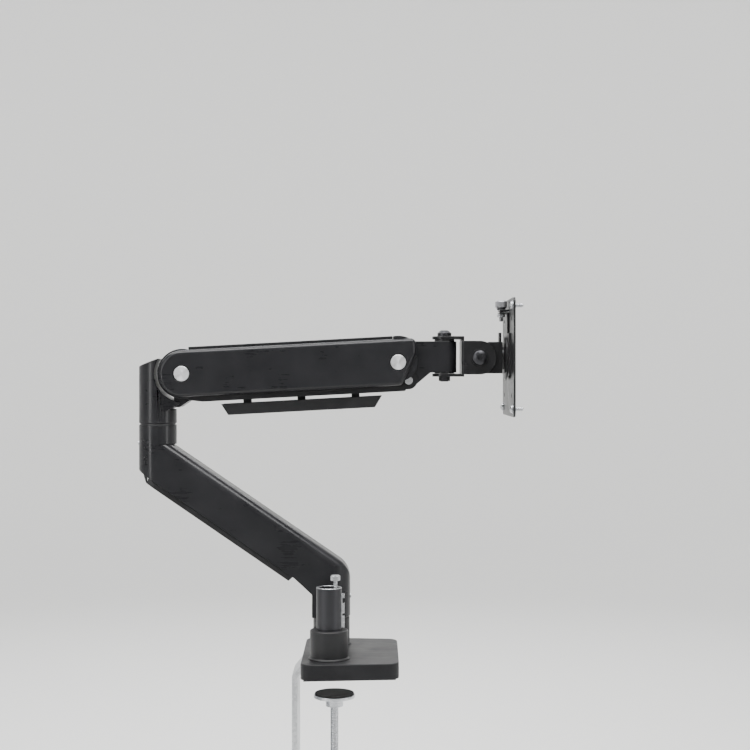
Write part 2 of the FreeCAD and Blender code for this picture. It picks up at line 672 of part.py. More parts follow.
def lower_arm_beam():
    body = new_body("beam_block")
    half, elbow = S["tube_radius"], -S["elbow_reach"]
    shoulder = S["elbow_top"] - S["beam_top_drop"]
    side = [(elbow - half, S["elbow_top"] - S["beam_heel"]), (-S["knee_back"], S["knee_height"]),
            (-half, S["knee_height"] - 16), (-half, S["sleeve_foot"]), (half, S["sleeve_foot"]),
            (half, S["beam_nose"]), (elbow, shoulder), (elbow - half, shoulder)]
    block = pad(body, "XZ_Plane", 2 * half, outlines=[side], both=True)
    nose_x, nose_z = half.number, S["beam_nose"].number
    nose = round_edges(body, block, S["nose_round"],
                       lambda edge: crosses(edge) and abs(edge.Vertexes[0].X - nose_x) < 1e-3
                       and abs(edge.Vertexes[0].Z - nose_z) < 1e-3)
    start = (elbow.number, shoulder.number)
    slope = (nose_z - start[1]) / (nose_x - start[0])

    def top_edge(edge):
        if crosses(edge):
            return False
        middle = edge.valueAt((edge.FirstParameter + edge.LastParameter) / 2)
        on_line = abs(middle.z - start[1] - slope * (middle.x - start[0])) < 1e-2
        over_nose = middle.z > nose_z - 20 and middle.x > nose_x - 20 and not is_upright(edge)
        down_front = is_upright(edge) and abs(middle.x - nose_x) < 1e-3
        return abs(abs(middle.y) - nose_x) < 1e-3 and (on_line or over_nose or down_front)

    round_edges(body, nose, S["beam_round"], top_edge)
    inner = half - S["beam_wall"]
    deep = S["channel_depth"] / 0.825
    bend, left, right = elbow + 15.5, elbow - 10.5, -S["knee_back"] - 12
    floor = S["elbow_top"] - 42.5
    channel = [(left, floor), (left, under_beam(left) - 20), (right, under_beam(right) - 20),
               (right, under_beam(right) + deep), (bend, under_beam(bend) + deep), (bend, floor)]
    pocket(body, "XZ_Plane", 2 * inner, outlines=[channel], both=True)
    place(body, y=ARM_Y)
    plan = plan_strip(half, elbow, as_size(0), S["elbow_top"], as_size(0))
    shaped = common(body, plan)
    tube = cylinder(half, S["beam_top_drop"] + 10, elbow, ARM_Y, shoulder - 10)
    whole = join(shaped, tube)
    whole = cut(whole, cylinder(bush_outside() + S["seated"], S["post_top"] + 3 - S["sleeve_foot"],
                                0, ARM_Y, S["sleeve_foot"]))
    bore = S["elbow_shaft_radius"] + 2 + S["seated"]
    whole = cut(whole, cylinder(bore, 34.5, elbow, ARM_Y, S["elbow_top"] - 34.5))
    whole = cut(whole, cylinder(4.3, 20, elbow, ARM_Y, floor - 1))
    screw_hole = 2 + S["seated"]
    whole = cut(whole, cylinder(screw_hole, 10, bush_outside() - 1, ARM_Y, S["sleeve_foot"] + 19.4,
                                "forward"))
    return cut(whole, cylinder(screw_hole, 12, elbow - bore + 1, ARM_Y, S["elbow_top"] - 18.5, "back"),
               "lower_arm_beam")


def bush_outside():
    return S["post_radius"] + S["bush_wall"]


def lower_cable_cover():
    body = new_body("cover_strip")
    left, right, drop = -S["elbow_reach"] - 13, -S["knee_back"] - 2, S["cover_drop"] / 0.825
    side = [(left, under_beam(left) - 0.2), (left + 3, under_beam(left + 3) - drop),
            (right - 4, under_beam(right - 4) - drop), (right, under_beam(right) - 0.2)]
    pad(body, "XZ_Plane", 34, outlines=[side], both=True)
    hollow = [(left + 4, under_beam(left + 4) + 2), (left + 4, under_beam(left + 4) - drop + 2.4),
              (right - 5, under_beam(right - 5) - drop + 2.4), (right - 5, under_beam(right - 5) + 2)]
    pocket(body, "XZ_Plane", 30, outlines=[hollow], both=True)
    for share in (0.25, 0.5, 0.75):
        x = left + (right - left) * share
        clip = [(x - 4, under_beam(x - 4) - drop + 2), (x + 4, under_beam(x + 4) - drop + 2),
                (x + 4, under_beam(x + 4) + 7), (x - 4, under_beam(x - 4) + 7)]
        pad(body, "XZ_Plane", 28.9, outlines=[clip], both=True)
        slot = [(x - 5, under_beam(x - 5) - drop + 2.4), (x + 5, under_beam(x + 5) - drop + 2.4),
                (x + 5, under_beam(x + 5) + 8), (x - 5, under_beam(x - 5) + 8)]
        pocket(body, "XZ_Plane", 25, outlines=[slot], both=True)
    upper_mouth = rectangle(left - 6, under_beam(left) - 20, left + 14, under_beam(left) + 6)
    lower_mouth = rectangle(right - 24, under_beam(right) - 20, right - 11, under_beam(right) + 20)
    pocket(body, "XZ_Plane", 18, outlines=[upper_mouth, lower_mouth], both=True)
    place(body, y=ARM_Y)
    plan = plan_strip(as_size(17), -S["elbow_reach"], as_size(0), S["elbow_top"], as_size(0))
    return common(body, plan, "lower_cable_cover")


def swivel_bush():
    return ring("swivel_bush", S["post_radius"] + S["running"], bush_outside(),
                S["sleeve_foot"] + 0.2, S["post_top"] + 2, y=ARM_Y)


def elbow_bush():
    return ring("elbow_bush", S["elbow_shaft_radius"] + S["running"], S["elbow_shaft_radius"] + 2,
                S["elbow_top"] - 34.2, S["elbow_top"] - 0.2, x=-S["elbow_reach"], y=ARM_Y)


def set_screws():
    low = rod("sleeve_set_screw", 2, 0, 5, x=bush_outside() + 0.2, y=ARM_Y,
              z=S["sleeve_foot"] + 19.4, facing="forward")
    high = rod("elbow_set_screw", 2, 0, 7.6, x=-S["elbow_reach"] - S["elbow_shaft_radius"] - 2.1,
               y=ARM_Y, z=S["elbow_top"] - 18.5, facing="back")
    return group("set_screws", [low, high])


def elbow_thrust_washer():
    return ring("elbow_thrust_washer", S["elbow_shaft_radius"] + 0.2, S["tube_radius"] - 1,
                S["elbow_top"], S["elbow_top"] + S["elbow_washer"], x=-S["elbow_reach"], y=ARM_Y)


# ---- elbow knuckle ----

def elbow_knuckle():
    half, elbow, foot = S["tube_radius"], -S["elbow_reach"], KNUCKLE_FOOT
    crown = foot + S["knuckle_crown"]
    tip = PIVOT_X - 3.2
    body = new_body("knuckle_block")
    side = [(elbow - half, foot), (elbow - 1.5, foot), (elbow - 1.5, foot + 6.5),
            (tip - 3, foot + 17.5), (tip, foot + 19.5), (tip, crown), (elbow + 2.5, crown),
            (elbow - half, foot + S["knuckle_rise"])]
    pad(body, "XZ_Plane", 2 * half, outlines=[side], both=True)
    pocket(body, "XZ_Plane", 3 * half, circles=[(PIVOT_X, PIVOT_Z, S["knuckle_arc"])], both=True)
    place(body, y=ARM_Y)
    flat = S["knuckle_flat"]
    plan = join(cylinder(half, 80, elbow, ARM_Y, foot),
                box(S["pivot_ahead"], 2 * flat, 80, elbow, ARM_Y - flat, foot))
    whole = join(common(body, plan), cylinder(half, 14, elbow, ARM_Y, foot))
    whole = join(whole, knuckle_ears())
    bore = S["elbow_shaft_radius"] + S["seated"]
    whole = cut(whole, cylinder(bore, 20.5, elbow, ARM_Y, foot - 0.5))
    width = 2 * S["ear_half"] + 4
    for radius, x, z in ((S["pivot_pin"] + S["running"], PIVOT_X, PIVOT_Z),
                         (S["link_pin"] + S["seated"], PIVOT_X + S["link_shift"],
                          PIVOT_Z - S["link_drop"]),
                         (S["anchor_pin"] + S["seated"], anchor_x(), anchor_z())):
        whole = cut(whole, cylinder(radius, width, x, ARM_Y + width / 2, z, "near"))
    whole.Label = "elbow_knuckle"
    return whole


def anchor_x():
    return PIVOT_X + 1.7 * cosine(S["arm_tilt"]) + S["anchor_drop"] * sine(S["arm_tilt"])


def anchor_z():
    return PIVOT_Z + 1.7 * sine(S["arm_tilt"]) - S["anchor_drop"] * cosine(S["arm_tilt"])


def knuckle_ears():
    """Two ears that carry the rear pivot, the link's pivot and the gas spring's anchor."""
    body = new_body("knuckle_ears")
    link_x, link_z = PIVOT_X + S["link_shift"], PIVOT_Z - S["link_drop"]
    plate = [(PIVOT_X - 9.2, PIVOT_Z - 33), (PIVOT_X - 3.5, PIVOT_Z - 33.4), (link_x - 3, link_z - 8),
             (link_x + 7.2, link_z - 3), (link_x + 6, link_z + 6), (PIVOT_X + 8.5, PIVOT_Z + 3),
             (PIVOT_X - 9.2, PIVOT_Z)]
    pad(body, "XZ_Plane", 2 * S["ear_half"], outlines=[plate], both=True)
    pad(body, "XZ_Plane", 2 * S["ear_half"], circles=[(PIVOT_X, PIVOT_Z, 9.5)], both=True)
    pad(body, "XZ_Plane", 2 * S["ear_half"], circles=[(link_x, link_z, 8.1)], both=True)
    slot = rectangle(PIVOT_X - 22, PIVOT_Z - 27, PIVOT_X + 25, PIVOT_Z + 16)
    pocket(body, "XZ_Plane", 2 * S["ear_slot"], outlines=[slot], both=True)
    return place(body, y=ARM_Y)


def elbow_shaft():
    foot, top = S["elbow_top"] - 33.5, KNUCKLE_FOOT + 19.8
    thread = 4 + S["seated"]
    profile = [(thread, foot), (S["elbow_shaft_radius"], foot), (S["elbow_shaft_radius"], top),
               (0, top), (0, foot + 18), (thread, foot + 18)]
    return turned("elbow_shaft", profile, x=-S["elbow_reach"], y=ARM_Y)


def elbow_bolt():
    seat = S["elbow_top"] - 43.8
    bolt = button_screw("bolt", as_size(4), as_size(6.5), 5, 25, x=-S["elbow_reach"], y=ARM_Y,
                        z=seat, facing="down")
    washer = ring("washer", 4.1, 9.4, seat, seat + 1, x=-S["elbow_reach"], y=ARM_Y)
    return group("elbow_bolt", [bolt, washer])


def cross_pin(name, radius, half_length, x, z):
    return rod(name, radius, -half_length, half_length, x=x, y=ARM_Y, z=z, facing="near")


def link_rear_pins(end, x, z):
    """A short pin in each ear, so that the gas spring can pass between them."""
    pins = [rod("stub_pin", S["link_pin"], S["ear_slot"] + 0.2, end, x=x, y=ARM_Y, z=z, facing=side)
            for side in ("near", "far")]
    return group("link_rear_pins", pins)


# ---- upper arm: frame, covers, gas spring, link and cable tray ----

def in_upper_arm(body):
    """The upper arm's pieces are drawn along the line between the two main pivots."""
    return place(body, PIVOT_X, ARM_Y, PIVOT_Z, turn=S["arm_tilt"])


def upper_arm_frame():
    body = new_body("upper_arm_frame")
    span, top, outside = S["arm_span"], S["frame_top"], 2 * (S["frame_inside"] + S["frame_wall"])
    inside = 2 * S["frame_inside"]
    beam = rectangle(0, -S["frame_bottom"], span, top)
    pad(body, "XZ_Plane", outside, outlines=[beam], both=True)
    pad(body, "XZ_Plane", outside, circles=[(0, 0, S["frame_end"])], both=True)
    pad(body, "XZ_Plane", outside, circles=[(span, 0, S["frame_bottom"])], both=True)
    room = rectangle(0, -40, span + 30, top - 2.6)
    pocket(body, "XZ_Plane", inside, outlines=[room], both=True)
    pocket(body, "XZ_Plane", inside, circles=[(0, 0, S["frame_end"] - 2.3)], both=True)
    mouth = rectangle(-40, -40, 1, -2)
    pocket(body, "XZ_Plane", inside, outlines=[mouth], both=True)
    outer, wall = S["cap_radius"], S["cap_wall"]
    inner = outer - wall
    cap = [(span + outer * cosine(98), outer * sine(98), span, 0, "left"),
           (span + inner * cosine(98), inner * sine(98)),
           (span + inner * cosine(52), inner * sine(52), span, 0, "right"),
           (span + outer * cosine(52), outer * sine(52))]
    pad(body, "XZ_Plane", outside, outlines=[cap], both=True)
    fork = rectangle(span - 2, 10, span + 40, 40)
    pocket(body, "XZ_Plane", 2 * (S["neck_half"] + 1), outlines=[fork], both=True)
    pins = [(0, 0, S["pivot_pin"] + S["seated"]), (span, 0, S["pivot_pin"] + S["seated"])]
    pocket(body, "XZ_Plane", outside + 4, circles=pins, both=True)
    return in_upper_arm(body)


def cover_outline(inset=0):
    """Side cover seen from the side: round at the rear, slanted at the front."""
    half, span = S["cover_half"] - inset, S["arm_span"]
    return [(0, -half, 0, 0, "left"), (span + 2.6 - inset, -half), (span + 18.2 - inset, 8),
            (span + 18.6 - inset, half), (0, half)]


def side_cover(name, side):
    """Hollow cover with a rounded outer edge and a recess round each pivot disc."""
    body = new_body(name)
    near = side == "near"
    face, thick = S["cover_face"], S["cover_thick"]
    inner = face - thick

    def offset(distance):
        return distance if near else -distance

    shell = pad(body, "XZ_Plane", thick, outlines=[cover_outline()], offset=offset(inner), flip=not near)
    front = S["arm_span"].number

    def front_corner(edge):
        return crosses(edge) and edge.Vertexes[0].X > front

    shell = round_edges(body, shell, 5.5, front_corner)
    level = -face.number if near else face.number
    round_edges(body, shell, S["cover_round"],
                lambda edge: all(abs(v.Y - level) < 1e-3 for v in edge.Vertexes))
    pocket(body, "XZ_Plane", thick - S["cover_skin"], outlines=[cover_outline(3)], offset=offset(inner),
           flip=near)
    discs = [(0, 0, S["disc_recess"]), (S["arm_span"], 0, S["disc_recess"])]
    pocket(body, "XZ_Plane", 1.2, circles=discs, offset=offset(face), flip=not near)
    return in_upper_arm(body)


def top_cover():
    body = new_body("top_cover")
    foot, end = S["frame_top"] + 0.05, S["frame_end"]
    strip = rectangle(root(end * end - foot * foot) + 0.3, foot, S["arm_span"] - 4.2,
                      S["cap_radius"])
    pad(body, "XZ_Plane", 2 * S["frame_inside"], outlines=[strip], both=True)
    return in_upper_arm(body)


def pivot_discs():
    discs = []
    for x, z in ((PIVOT_X, PIVOT_Z), (FRONT_X, FRONT_Z)):
        for sign, facing in ((-1, "near"), (1, "far")):
            floor = S["cover_face"] - 1.15
            discs.append(turned("pivot_disc", [(0, 0), (S["disc_radius"], 0), (S["disc_radius"], 1),
                                               (S["disc_radius"] - 0.4, 1.4), (0, 1.4)],
                                x=x, y=ARM_Y + sign * floor, z=z, facing=facing))
    return group("pivot_discs", discs)


def pivot_spacers():
    spacers = []
    for x, z in ((PIVOT_X, PIVOT_Z), (FRONT_X, FRONT_Z)):
        for sign, facing in ((-1, "near"), (1, "far")):
            spacers.append(ring("pivot_spacer", S["pivot_pin"] + S["seated"], 6.2, 0,
                                S["frame_inside"] - S["ear_half"] - 0.4,
                                x=x, y=ARM_Y + sign * (S["ear_half"] + 0.3), z=z, facing=facing))
    return group("pivot_spacers", spacers)


def strut_turn():
    """Turn about -Y that lays a turned piece's axis from the front pivot towards the anchor."""
    lean = arctangent(S["strut_drop"] / (S["arm_span"] - 1.7))
    return 90 + S["arm_tilt"] + lean


def strut_length():
    run = S["arm_span"] - 1.7
    return root(run * run + S["strut_drop"] * S["strut_drop"])


def eye(label, radius, hole, half_width, x, z):
    """A flat eye across the arm, as a solid with its pin hole."""
    boss = cylinder(radius, 2 * half_width, x, ARM_Y + half_width, z, "near")
    return cut(boss, cylinder(hole, 2 * half_width + 2, x, ARM_Y + half_width + 1, z, "near"), label)


def gas_spring_cylinder():
    barrel = S["strut_radius"]
    profile = [(0, 6.5), (5, 6.5), (5, 18), (barrel - 1.5, 20), (barrel, 22), (barrel, 133),
               (barrel - 1.5, 136), (S["strut_rod"] + S["running"], 136),
               (S["strut_rod"] + S["running"], 60), (0, 60)]
    tube = turned("strut_tube", profile, x=FRONT_X, y=ARM_Y, z=FRONT_Z, turn=strut_turn())
    front = cylinder(8, 15, FRONT_X, ARM_Y + 7.5, FRONT_Z, "near")
    whole = join(tube, front)
    hole = S["pivot_pin"] + S["seated"]
    return cut(whole, cylinder(hole, 20, FRONT_X, ARM_Y + 10, FRONT_Z, "near"), "gas_spring_cylinder")


def gas_spring_rod():
    return rod("gas_spring_rod", S["strut_rod"], strut_length() - 134, strut_length() - 6,
               x=FRONT_X, y=ARM_Y, z=FRONT_Z, turn=strut_turn())


def gas_spring_eye():
    """Rod end with a wide eye round the anchor pin, and a socket for the rod."""
    tilt = S["arm_tilt"]
    x = PIVOT_X + 1.7 * cosine(tilt) + S["strut_drop"] * sine(tilt)
    z = PIVOT_Z + 1.7 * sine(tilt) - S["strut_drop"] * cosine(tilt)
    end = cylinder(6.9, 11, x, ARM_Y + 5.5, z, "near")
    length = strut_length()
    stem = rod("eye_stem", 5.5, length - 18, length - 5, x=FRONT_X, y=ARM_Y, z=FRONT_Z,
               turn=strut_turn())
    socket = rod("eye_socket", S["strut_rod"] + S["seated"], length - 19, length - 5.9, x=FRONT_X,
                 y=ARM_Y, z=FRONT_Z, turn=strut_turn())
    whole = cut(join(end, stem), cylinder(4.9, 14, x, ARM_Y + 7, z, "near"))
    return cut(whole, socket, "gas_spring_eye")


def lower_link():
    body = new_body("lower_link")
    span, eye_radius = S["arm_span"], S["link_eye"]
    outside = 2 * (S["link_inside"] + S["link_wall"])
    inside = 2 * S["link_inside"]
    floor = -eye_radius - 1.5
    side = [(0, -eye_radius), (9, floor), (span - 4, floor), (span - 3, -eye_radius),
            (span, -eye_radius), (span, 3), (0, 3)]
    pad(body, "XZ_Plane", outside, outlines=[side], both=True)
    pad(body, "XZ_Plane", outside, circles=[(0, 0, eye_radius)], both=True)
    pad(body, "XZ_Plane", outside, circles=[(span, 0, eye_radius)], both=True)
    room = rectangle(-20, floor + 2, span + 20, 20)
    pocket(body, "XZ_Plane", inside, outlines=[room], both=True)
    rear = rectangle(-20, -20, 10, 10)
    front = rectangle(span - 3.5, -20, span + 20, 10)
    pocket(body, "XZ_Plane", inside, outlines=[rear, front], both=True)
    pocket(body, "XZ_Plane", outside + 4, circles=[(0, 0, S["link_pin"] + S["running"])], both=True)
    pocket(body, "XZ_Plane", outside + 4, circles=[(span, 0, S["link_pin"] + S["gap"])], both=True)
    return place(body, PIVOT_X + S["link_shift"], ARM_Y, PIVOT_Z - S["link_drop"], turn=S["arm_tilt"])


def cable_tray():
    """Open tray clipped under the link; the cables lie either side of its three studs."""
    body = new_body("cable_tray")
    top, floor, span = -S["tray_top"], -S["tray_bottom"], S["arm_span"]
    side = [(26.7, top), (33.2, floor), (span - 34.7, floor), (span - 27.2, top)]
    pad(body, "XZ_Plane", 2 * S["tray_half"], outlines=[side], both=True)
    room = rectangle(10, floor + S["tray_wall"], span, top + 5)
    pocket(body, "XZ_Plane", 2 * (S["tray_half"] - S["tray_wall"]), outlines=[room], both=True)
    studs = [rectangle(u - 4, floor + 1, u + 4, -S["link_eye"] - 1.55) for u in (52, 106, 160)]
    pad(body, "XZ_Plane", 8, outlines=studs, both=True)
    return place(body, PIVOT_X + S["link_shift"], ARM_Y, PIVOT_Z - S["link_drop"], turn=S["arm_tilt"])


# ---- head link and wrist ----

def head_link():
    body = new_body("neck_block")
    top, foot = S["neck_top"], -S["neck_bottom"]
    link_x, link_z = S["link_shift"], -S["link_drop"]
    end = S["wrist_ahead"] + S["neck_half"]
    side = [(-8.8, 3), (-9.2, -3), (link_x - 8, link_z), (link_x - 5, link_z - 6.4), (link_x, link_z - 8.1),
            (link_x + 3.4, link_z - 7.4), (link_x + 21.7, foot), (end, foot), (end, top),
            (S["neck_back"], top), (S["neck_back"], 6), (0, 8.5)]
    pad(body, "XZ_Plane", 2 * S["neck_half"], outlines=[side], both=True)
    pad(body, "XZ_Plane", 2 * S["neck_half"], circles=[(0, 0, 9.2)], both=True)
    slot = [(-14, -14), (-0.5, -14), (1.5, -9.5), (24, -9.5), (24, 24), (-14, 24)]
    pocket(body, "XZ_Plane", 2 * S["ear_slot"], outlines=[slot], both=True)
    pins = [(0, 0, S["pivot_pin"] + S["running"]), (link_x, link_z, S["link_pin"] + S["seated"])]
    pocket(body, "XZ_Plane", 3 * S["neck_half"], circles=pins, both=True)
    place(body, FRONT_X, ARM_Y, FRONT_Z)
    height = S["neck_top"] + S["link_drop"] + 12
    plan = plan_strip(S["neck_half"], FRONT_X, WRIST_X, height, FRONT_Z - S["link_drop"] - 10)
    shaped = common(body, plan)
    bore = cylinder(S["wrist_bolt"] + 0.1, height, WRIST_X, ARM_Y, NECK_FOOT - 2)
    return cut(shaped, bore, "head_link")


def wrist_washers():
    upper = ring("upper_washer", S["wrist_bolt"] + 0.1, 10, NECK_TOP, FORK_TOP - 0.1, x=WRIST_X, y=ARM_Y)
    lower = ring("lower_washer", S["wrist_bolt"] + 0.1, 10, FORK_FOOT + 0.1, NECK_FOOT, x=WRIST_X, y=ARM_Y)
    return group("wrist_washers", [upper, lower])


def wrist_bracket():
    """Bent steel: two flanges over the head link and two cheeks beside the tilt bracket."""
    body = new_body("wrist_bracket")
    sheet, web = S["sheet"], S["web_ahead"]
    low, high = FORK_FOOT - FRONT_Z - sheet, FORK_TOP - FRONT_Z + sheet
    tongue = 12.2
    plan = [(0, -tongue, 0, 0, "left"), (web + sheet, -tongue), (web + sheet, tongue), (0, tongue)]
    pad(body, "XY_Plane", high - low, outlines=[plan], offset=low)
    mouth = rectangle(-20, low + sheet, web, high - sheet)
    pocket(body, "XZ_Plane", 60, outlines=[mouth], both=True)
    rise, centre, tilt = S["cheek_radius"], S["tilt_rise"], S["tilt_ahead"]
    cheeks = [(web, centre - rise), (tilt, centre - rise), (tilt, centre + rise, tilt, centre, "left"),
              (web, centre + rise)]
    pad(body, "XZ_Plane", 2 * S["cheek_half"], outlines=[cheeks], both=True)
    room = rectangle(web + sheet, centre - 30, tilt + 30, centre + 30)
    pocket(body, "XZ_Plane", 2 * (S["cheek_half"] - sheet), outlines=[room], both=True)
    pocket(body, "XY_Plane", 80, circles=[(0, 0, S["wrist_bolt"] + 0.1)], offset=high + 5)
    bolt = [(tilt, centre, S["wrist_bolt"] + S["seated"])]
    pocket(body, "XZ_Plane", 60, circles=bolt, both=True)
    return place(body, WRIST_X, ARM_Y, FRONT_Z)


def wrist_bolt():
    return button_screw("wrist_bolt", S["wrist_bolt"], as_size(7), 6,
                        FORK_TOP - FORK_FOOT + 2 * S["sheet"] + 5, x=WRIST_X, y=ARM_Y,
                        z=FORK_TOP + S["sheet"])


def nut(name, across, height, bore, x, y, z, facing="up"):
    body = new_body(name)
    pad(body, "XY_Plane", height, outlines=[hexagon(across)])
    pocket(body, "XY_Plane", height + 1, circles=[(0, 0, bore)], offset=as_size(height) + 0.5)
    return place(body, x, y, z, facing)


def wrist_nut():
    return nut("wrist_nut", 10.0, 4.4, S["wrist_bolt"] + S["seated"], WRIST_X, ARM_Y,
               FORK_FOOT - S["sheet"] - 4.4)


def tilt_bolt():
    half = S["cheek_half"]
    return button_screw("tilt_bolt", S["wrist_bolt"], as_size(7), 4.2, 2 * half + 8.5, x=TILT_X,
                        y=ARM_Y - half - 1.6, z=TILT_Z, facing="near")


def tilt_washers():
    near = ring("near_washer", S["wrist_bolt"] + 0.1, 8.4, 0, 1.6, x=TILT_X,
                y=ARM_Y - S["cheek_half"], z=TILT_Z, facing="near")
    far = ring("far_washer", S["wrist_bolt"] + 0.1, 8.4, 0, 1.6, x=TILT_X,
               y=ARM_Y + S["cheek_half"], z=TILT_Z, facing="far")
    return group("tilt_washers", [near, far])


def tilt_nut():
    return nut("tilt_nut", 12.0, 5.0, S["wrist_bolt"] + S["seated"], TILT_X,
               ARM_Y + S["cheek_half"] + 1.6, TILT_Z, "far")


def tilt_bracket():
    body = new_body("tilt_bracket")
    web, sheet = S["tilt_web"], as_size(2.5)
    outside = S["cheek_half"] - S["sheet"] - S["gap"]
    rise = S["cheek_radius"] - 1
    ear = [(0, -13, 0, 0, "left"), (9, -rise), (web, -rise), (web, rise), (9, rise), (0, 13)]
    pad(body, "XZ_Plane", 2 * outside, outlines=[ear], both=True)
    room = rectangle(-20, -30, web - sheet, 30)
    pocket(body, "XZ_Plane", 2 * (outside - S["sheet"]), outlines=[room], both=True)
    tab = rectangle(web - sheet, rise - 2, web, rise + 9.5)
    pad(body, "XZ_Plane", 12, outlines=[tab], both=True)
    pocket(body, "XZ_Plane", 60, circles=[(0, 0, S["wrist_bolt"] + S["running"])], both=True)
    pocket(body, "YZ_Plane", 10, circles=[(0, 0, S["wrist_bolt"] + S["seated"])], offset=web + 2)
    return place(body, TILT_X, ARM_Y, TILT_Z)


# ---- rotating head and screen plate ----

def head_bearing():
    return ring("head_bearing", S["wrist_bolt"] + S["seated"], 11.5, 0, S["bearing_wall"],
                x=FACE_X, y=ARM_Y, z=TILT_Z, facing="forward")


def rotation_disc():
    bore, thick, edge = S["wrist_bolt"] + S["running"], S["disc_thick"], S["rotor_radius"]
    disc = turned("disc_blank", [(bore, 0), (edge - 3, 0), (edge, 1.4), (edge, thick), (bore, thick)],
                  x=DISC_X, y=ARM_Y, z=TILT_Z, facing="forward")
    for side, height in rivet_places():
        disc = cut(disc, cylinder(2.02, 5, DISC_X - 1, ARM_Y + side, TILT_Z + height, "forward"))
    disc.Label = "rotation_disc"
    return disc


def rivet_places():
    return [(side * 11.3, height * 11.3) for side in (-1, 1) for height in (-1, 1)]


def disc_rivets():
    length = S["disc_thick"] + S["slide_thick"]
    return group("disc_rivets", [rod("disc_rivet", 2, 0.1, length - 0.05, x=DISC_X, y=ARM_Y + side,
                                     z=TILT_Z + height, facing="forward")
                                 for side, height in rivet_places()])


def rotation_bolt():
    """Centre bolt: nut end inside the tilt bracket, flush head inside the quick-release plate."""
    shank = S["wrist_bolt"]
    back, seat = -S["sheet"] - 5.5, SLIDE_X - FACE_X + 0.1
    profile = [(0, back), (shank, back), (shank, -2.6 - 4.4), (6, -2.6 - 4.4), (6, -2.6), (shank, -2.6),
               (shank, seat), (6.6, seat), (6.6, seat + 1.4), (0, seat + 1.4)]
    return turned("rotation_bolt", profile, x=FACE_X, y=ARM_Y, z=TILT_Z, facing="forward")


def slide_plate():
    """Quick-release plate with a narrow leg and a lug bent back over it."""
    body = new_body("quick_release_plate")
    half, lug = S["slide_half"], S["lug_half"]
    thick, rise = S["slide_thick"], S["lug_rise"]
    plate = [(-half, -20), (half, -20), (half, 24), (lug, 24), (lug, rise + S["lug_thick"]),
             (-lug, rise + S["lug_thick"]), (-lug, 24), (-half, 24)]
    pad(body, "YZ_Plane", thick, outlines=[plate])
    shelf = rectangle(SCREEN_X - SLIDE_X - S["lug_back"], rise, thick, rise + S["lug_thick"])
    pad(body, "XZ_Plane", 2 * lug, outlines=[shelf], both=True)
    pocket(body, "YZ_Plane", 10, circles=[(0, 0, 7)], offset=5)
    rivets = [(side, height, 2.02) for side, height in rivet_places()]
    pocket(body, "YZ_Plane", 10, circles=rivets, offset=5)
    hole = [(THUMB_X - SLIDE_X, 0, S["thumb_shank"] + 0.2)]
    pocket(body, "XY_Plane", 5, circles=hole, offset=rise + 3)
    return place(body, SLIDE_X, ARM_Y, TILT_Z)


def thumb_nut():
    return nut("thumb_nut", 7.0, 3.0, S["thumb_shank"] + S["running"], THUMB_X, ARM_Y, LUG_Z - 3)


def screen_plate():
    body = new_body("screen_plate")
    half, thick, lug = S["screen_plate"] / 2, S["screen_plate_thick"], S["lug_half"]
    blank = pad(body, "YZ_Plane", thick, outlines=[rectangle(-half, -half, half, half)])

    def along_x(edge):
        start, end = edge.Vertexes[0].Point, edge.Vertexes[-1].Point
        return abs(start.y - end.y) < 1e-3 and abs(start.z - end.z) < 1e-3

    round_edges(body, blank, 6, along_x)
    big, small = S["screen_holes"] / 2, S["screen_holes_small"] / 2
    holes = [(y * reach, z * reach, S["screen_hole"]) for reach in (big, small)
             for y in (-1, 1) for z in (-1, 1)]
    pocket(body, "YZ_Plane", 10, circles=holes, offset=5)
    shelf_foot = S["lug_rise"] + S["lug_thick"] + 1.2
    shelf = rectangle(-S["lug_back"], shelf_foot, 0.5, shelf_foot + S["lug_thick"])
    pad(body, "XZ_Plane", 2 * lug, outlines=[shelf], both=True)
    hole = [(THUMB_X - SCREEN_X, 0, S["thumb_shank"] + 0.2)]
    pocket(body, "XY_Plane", 6, circles=hole, offset=shelf_foot + 4)
    inside = S["slide_half"] + S["gap"]
    rails = [rectangle(-inside - 3, -18, -inside, 24), rectangle(inside, -18, inside + 3, 24)]
    pad(body, "YZ_Plane", S["slide_thick"] + 0.6, outlines=rails, offset=0.3, flip=True)
    return place(body, SCREEN_X, ARM_Y, TILT_Z)


def screen_screws():
    reach, pieces = S["screen_holes"] / 2, []
    neck, start = S["screen_plate_thick"] + 0.8, SCREEN_X + S["screen_plate_thick"]
    for y in (-1, 1):
        for z in (-1, 1):
            where = {"x": SCREEN_X - 0.6, "y": ARM_Y + y * reach, "z": TILT_Z + z * reach}
            head = button_screw("head_and_neck", S["screen_neck"], as_size(4), 2.6, neck, facing="back",
                                **where)
            stud = cylinder(S["screen_stud"], S["screen_stud_reach"], start, where["y"], where["z"],
                            "forward")
            pieces.append(join(head, stud, "screen_screw"))
            pieces.append(ring("screen_washer", S["screen_stud"] + 0.1, 4.6, -0.6, 0, facing="back",
                               **where))
    return group("screen_screws", pieces)


def thumb_washer():
    return ring("thumb_washer", S["thumb_shank"] + S["running"], 4.2, 0, 1.2, x=THUMB_X, y=ARM_Y,
                z=THUMB_Z)


def thumb_screw():
    head, shank = S["thumb_radius"], S["thumb_shank"]
    profile = [(0, -11.5), (shank - 0.5, -11.5), (shank, -11), (shank, 1.3), (head - 0.8, 1.3),
               (head, 2), (head - 0.4, 8.4), (head - 1.2, 9.2), (0, 9.2)]
    return turned("thumb_screw", profile, x=THUMB_X, y=ARM_Y, z=THUMB_Z)


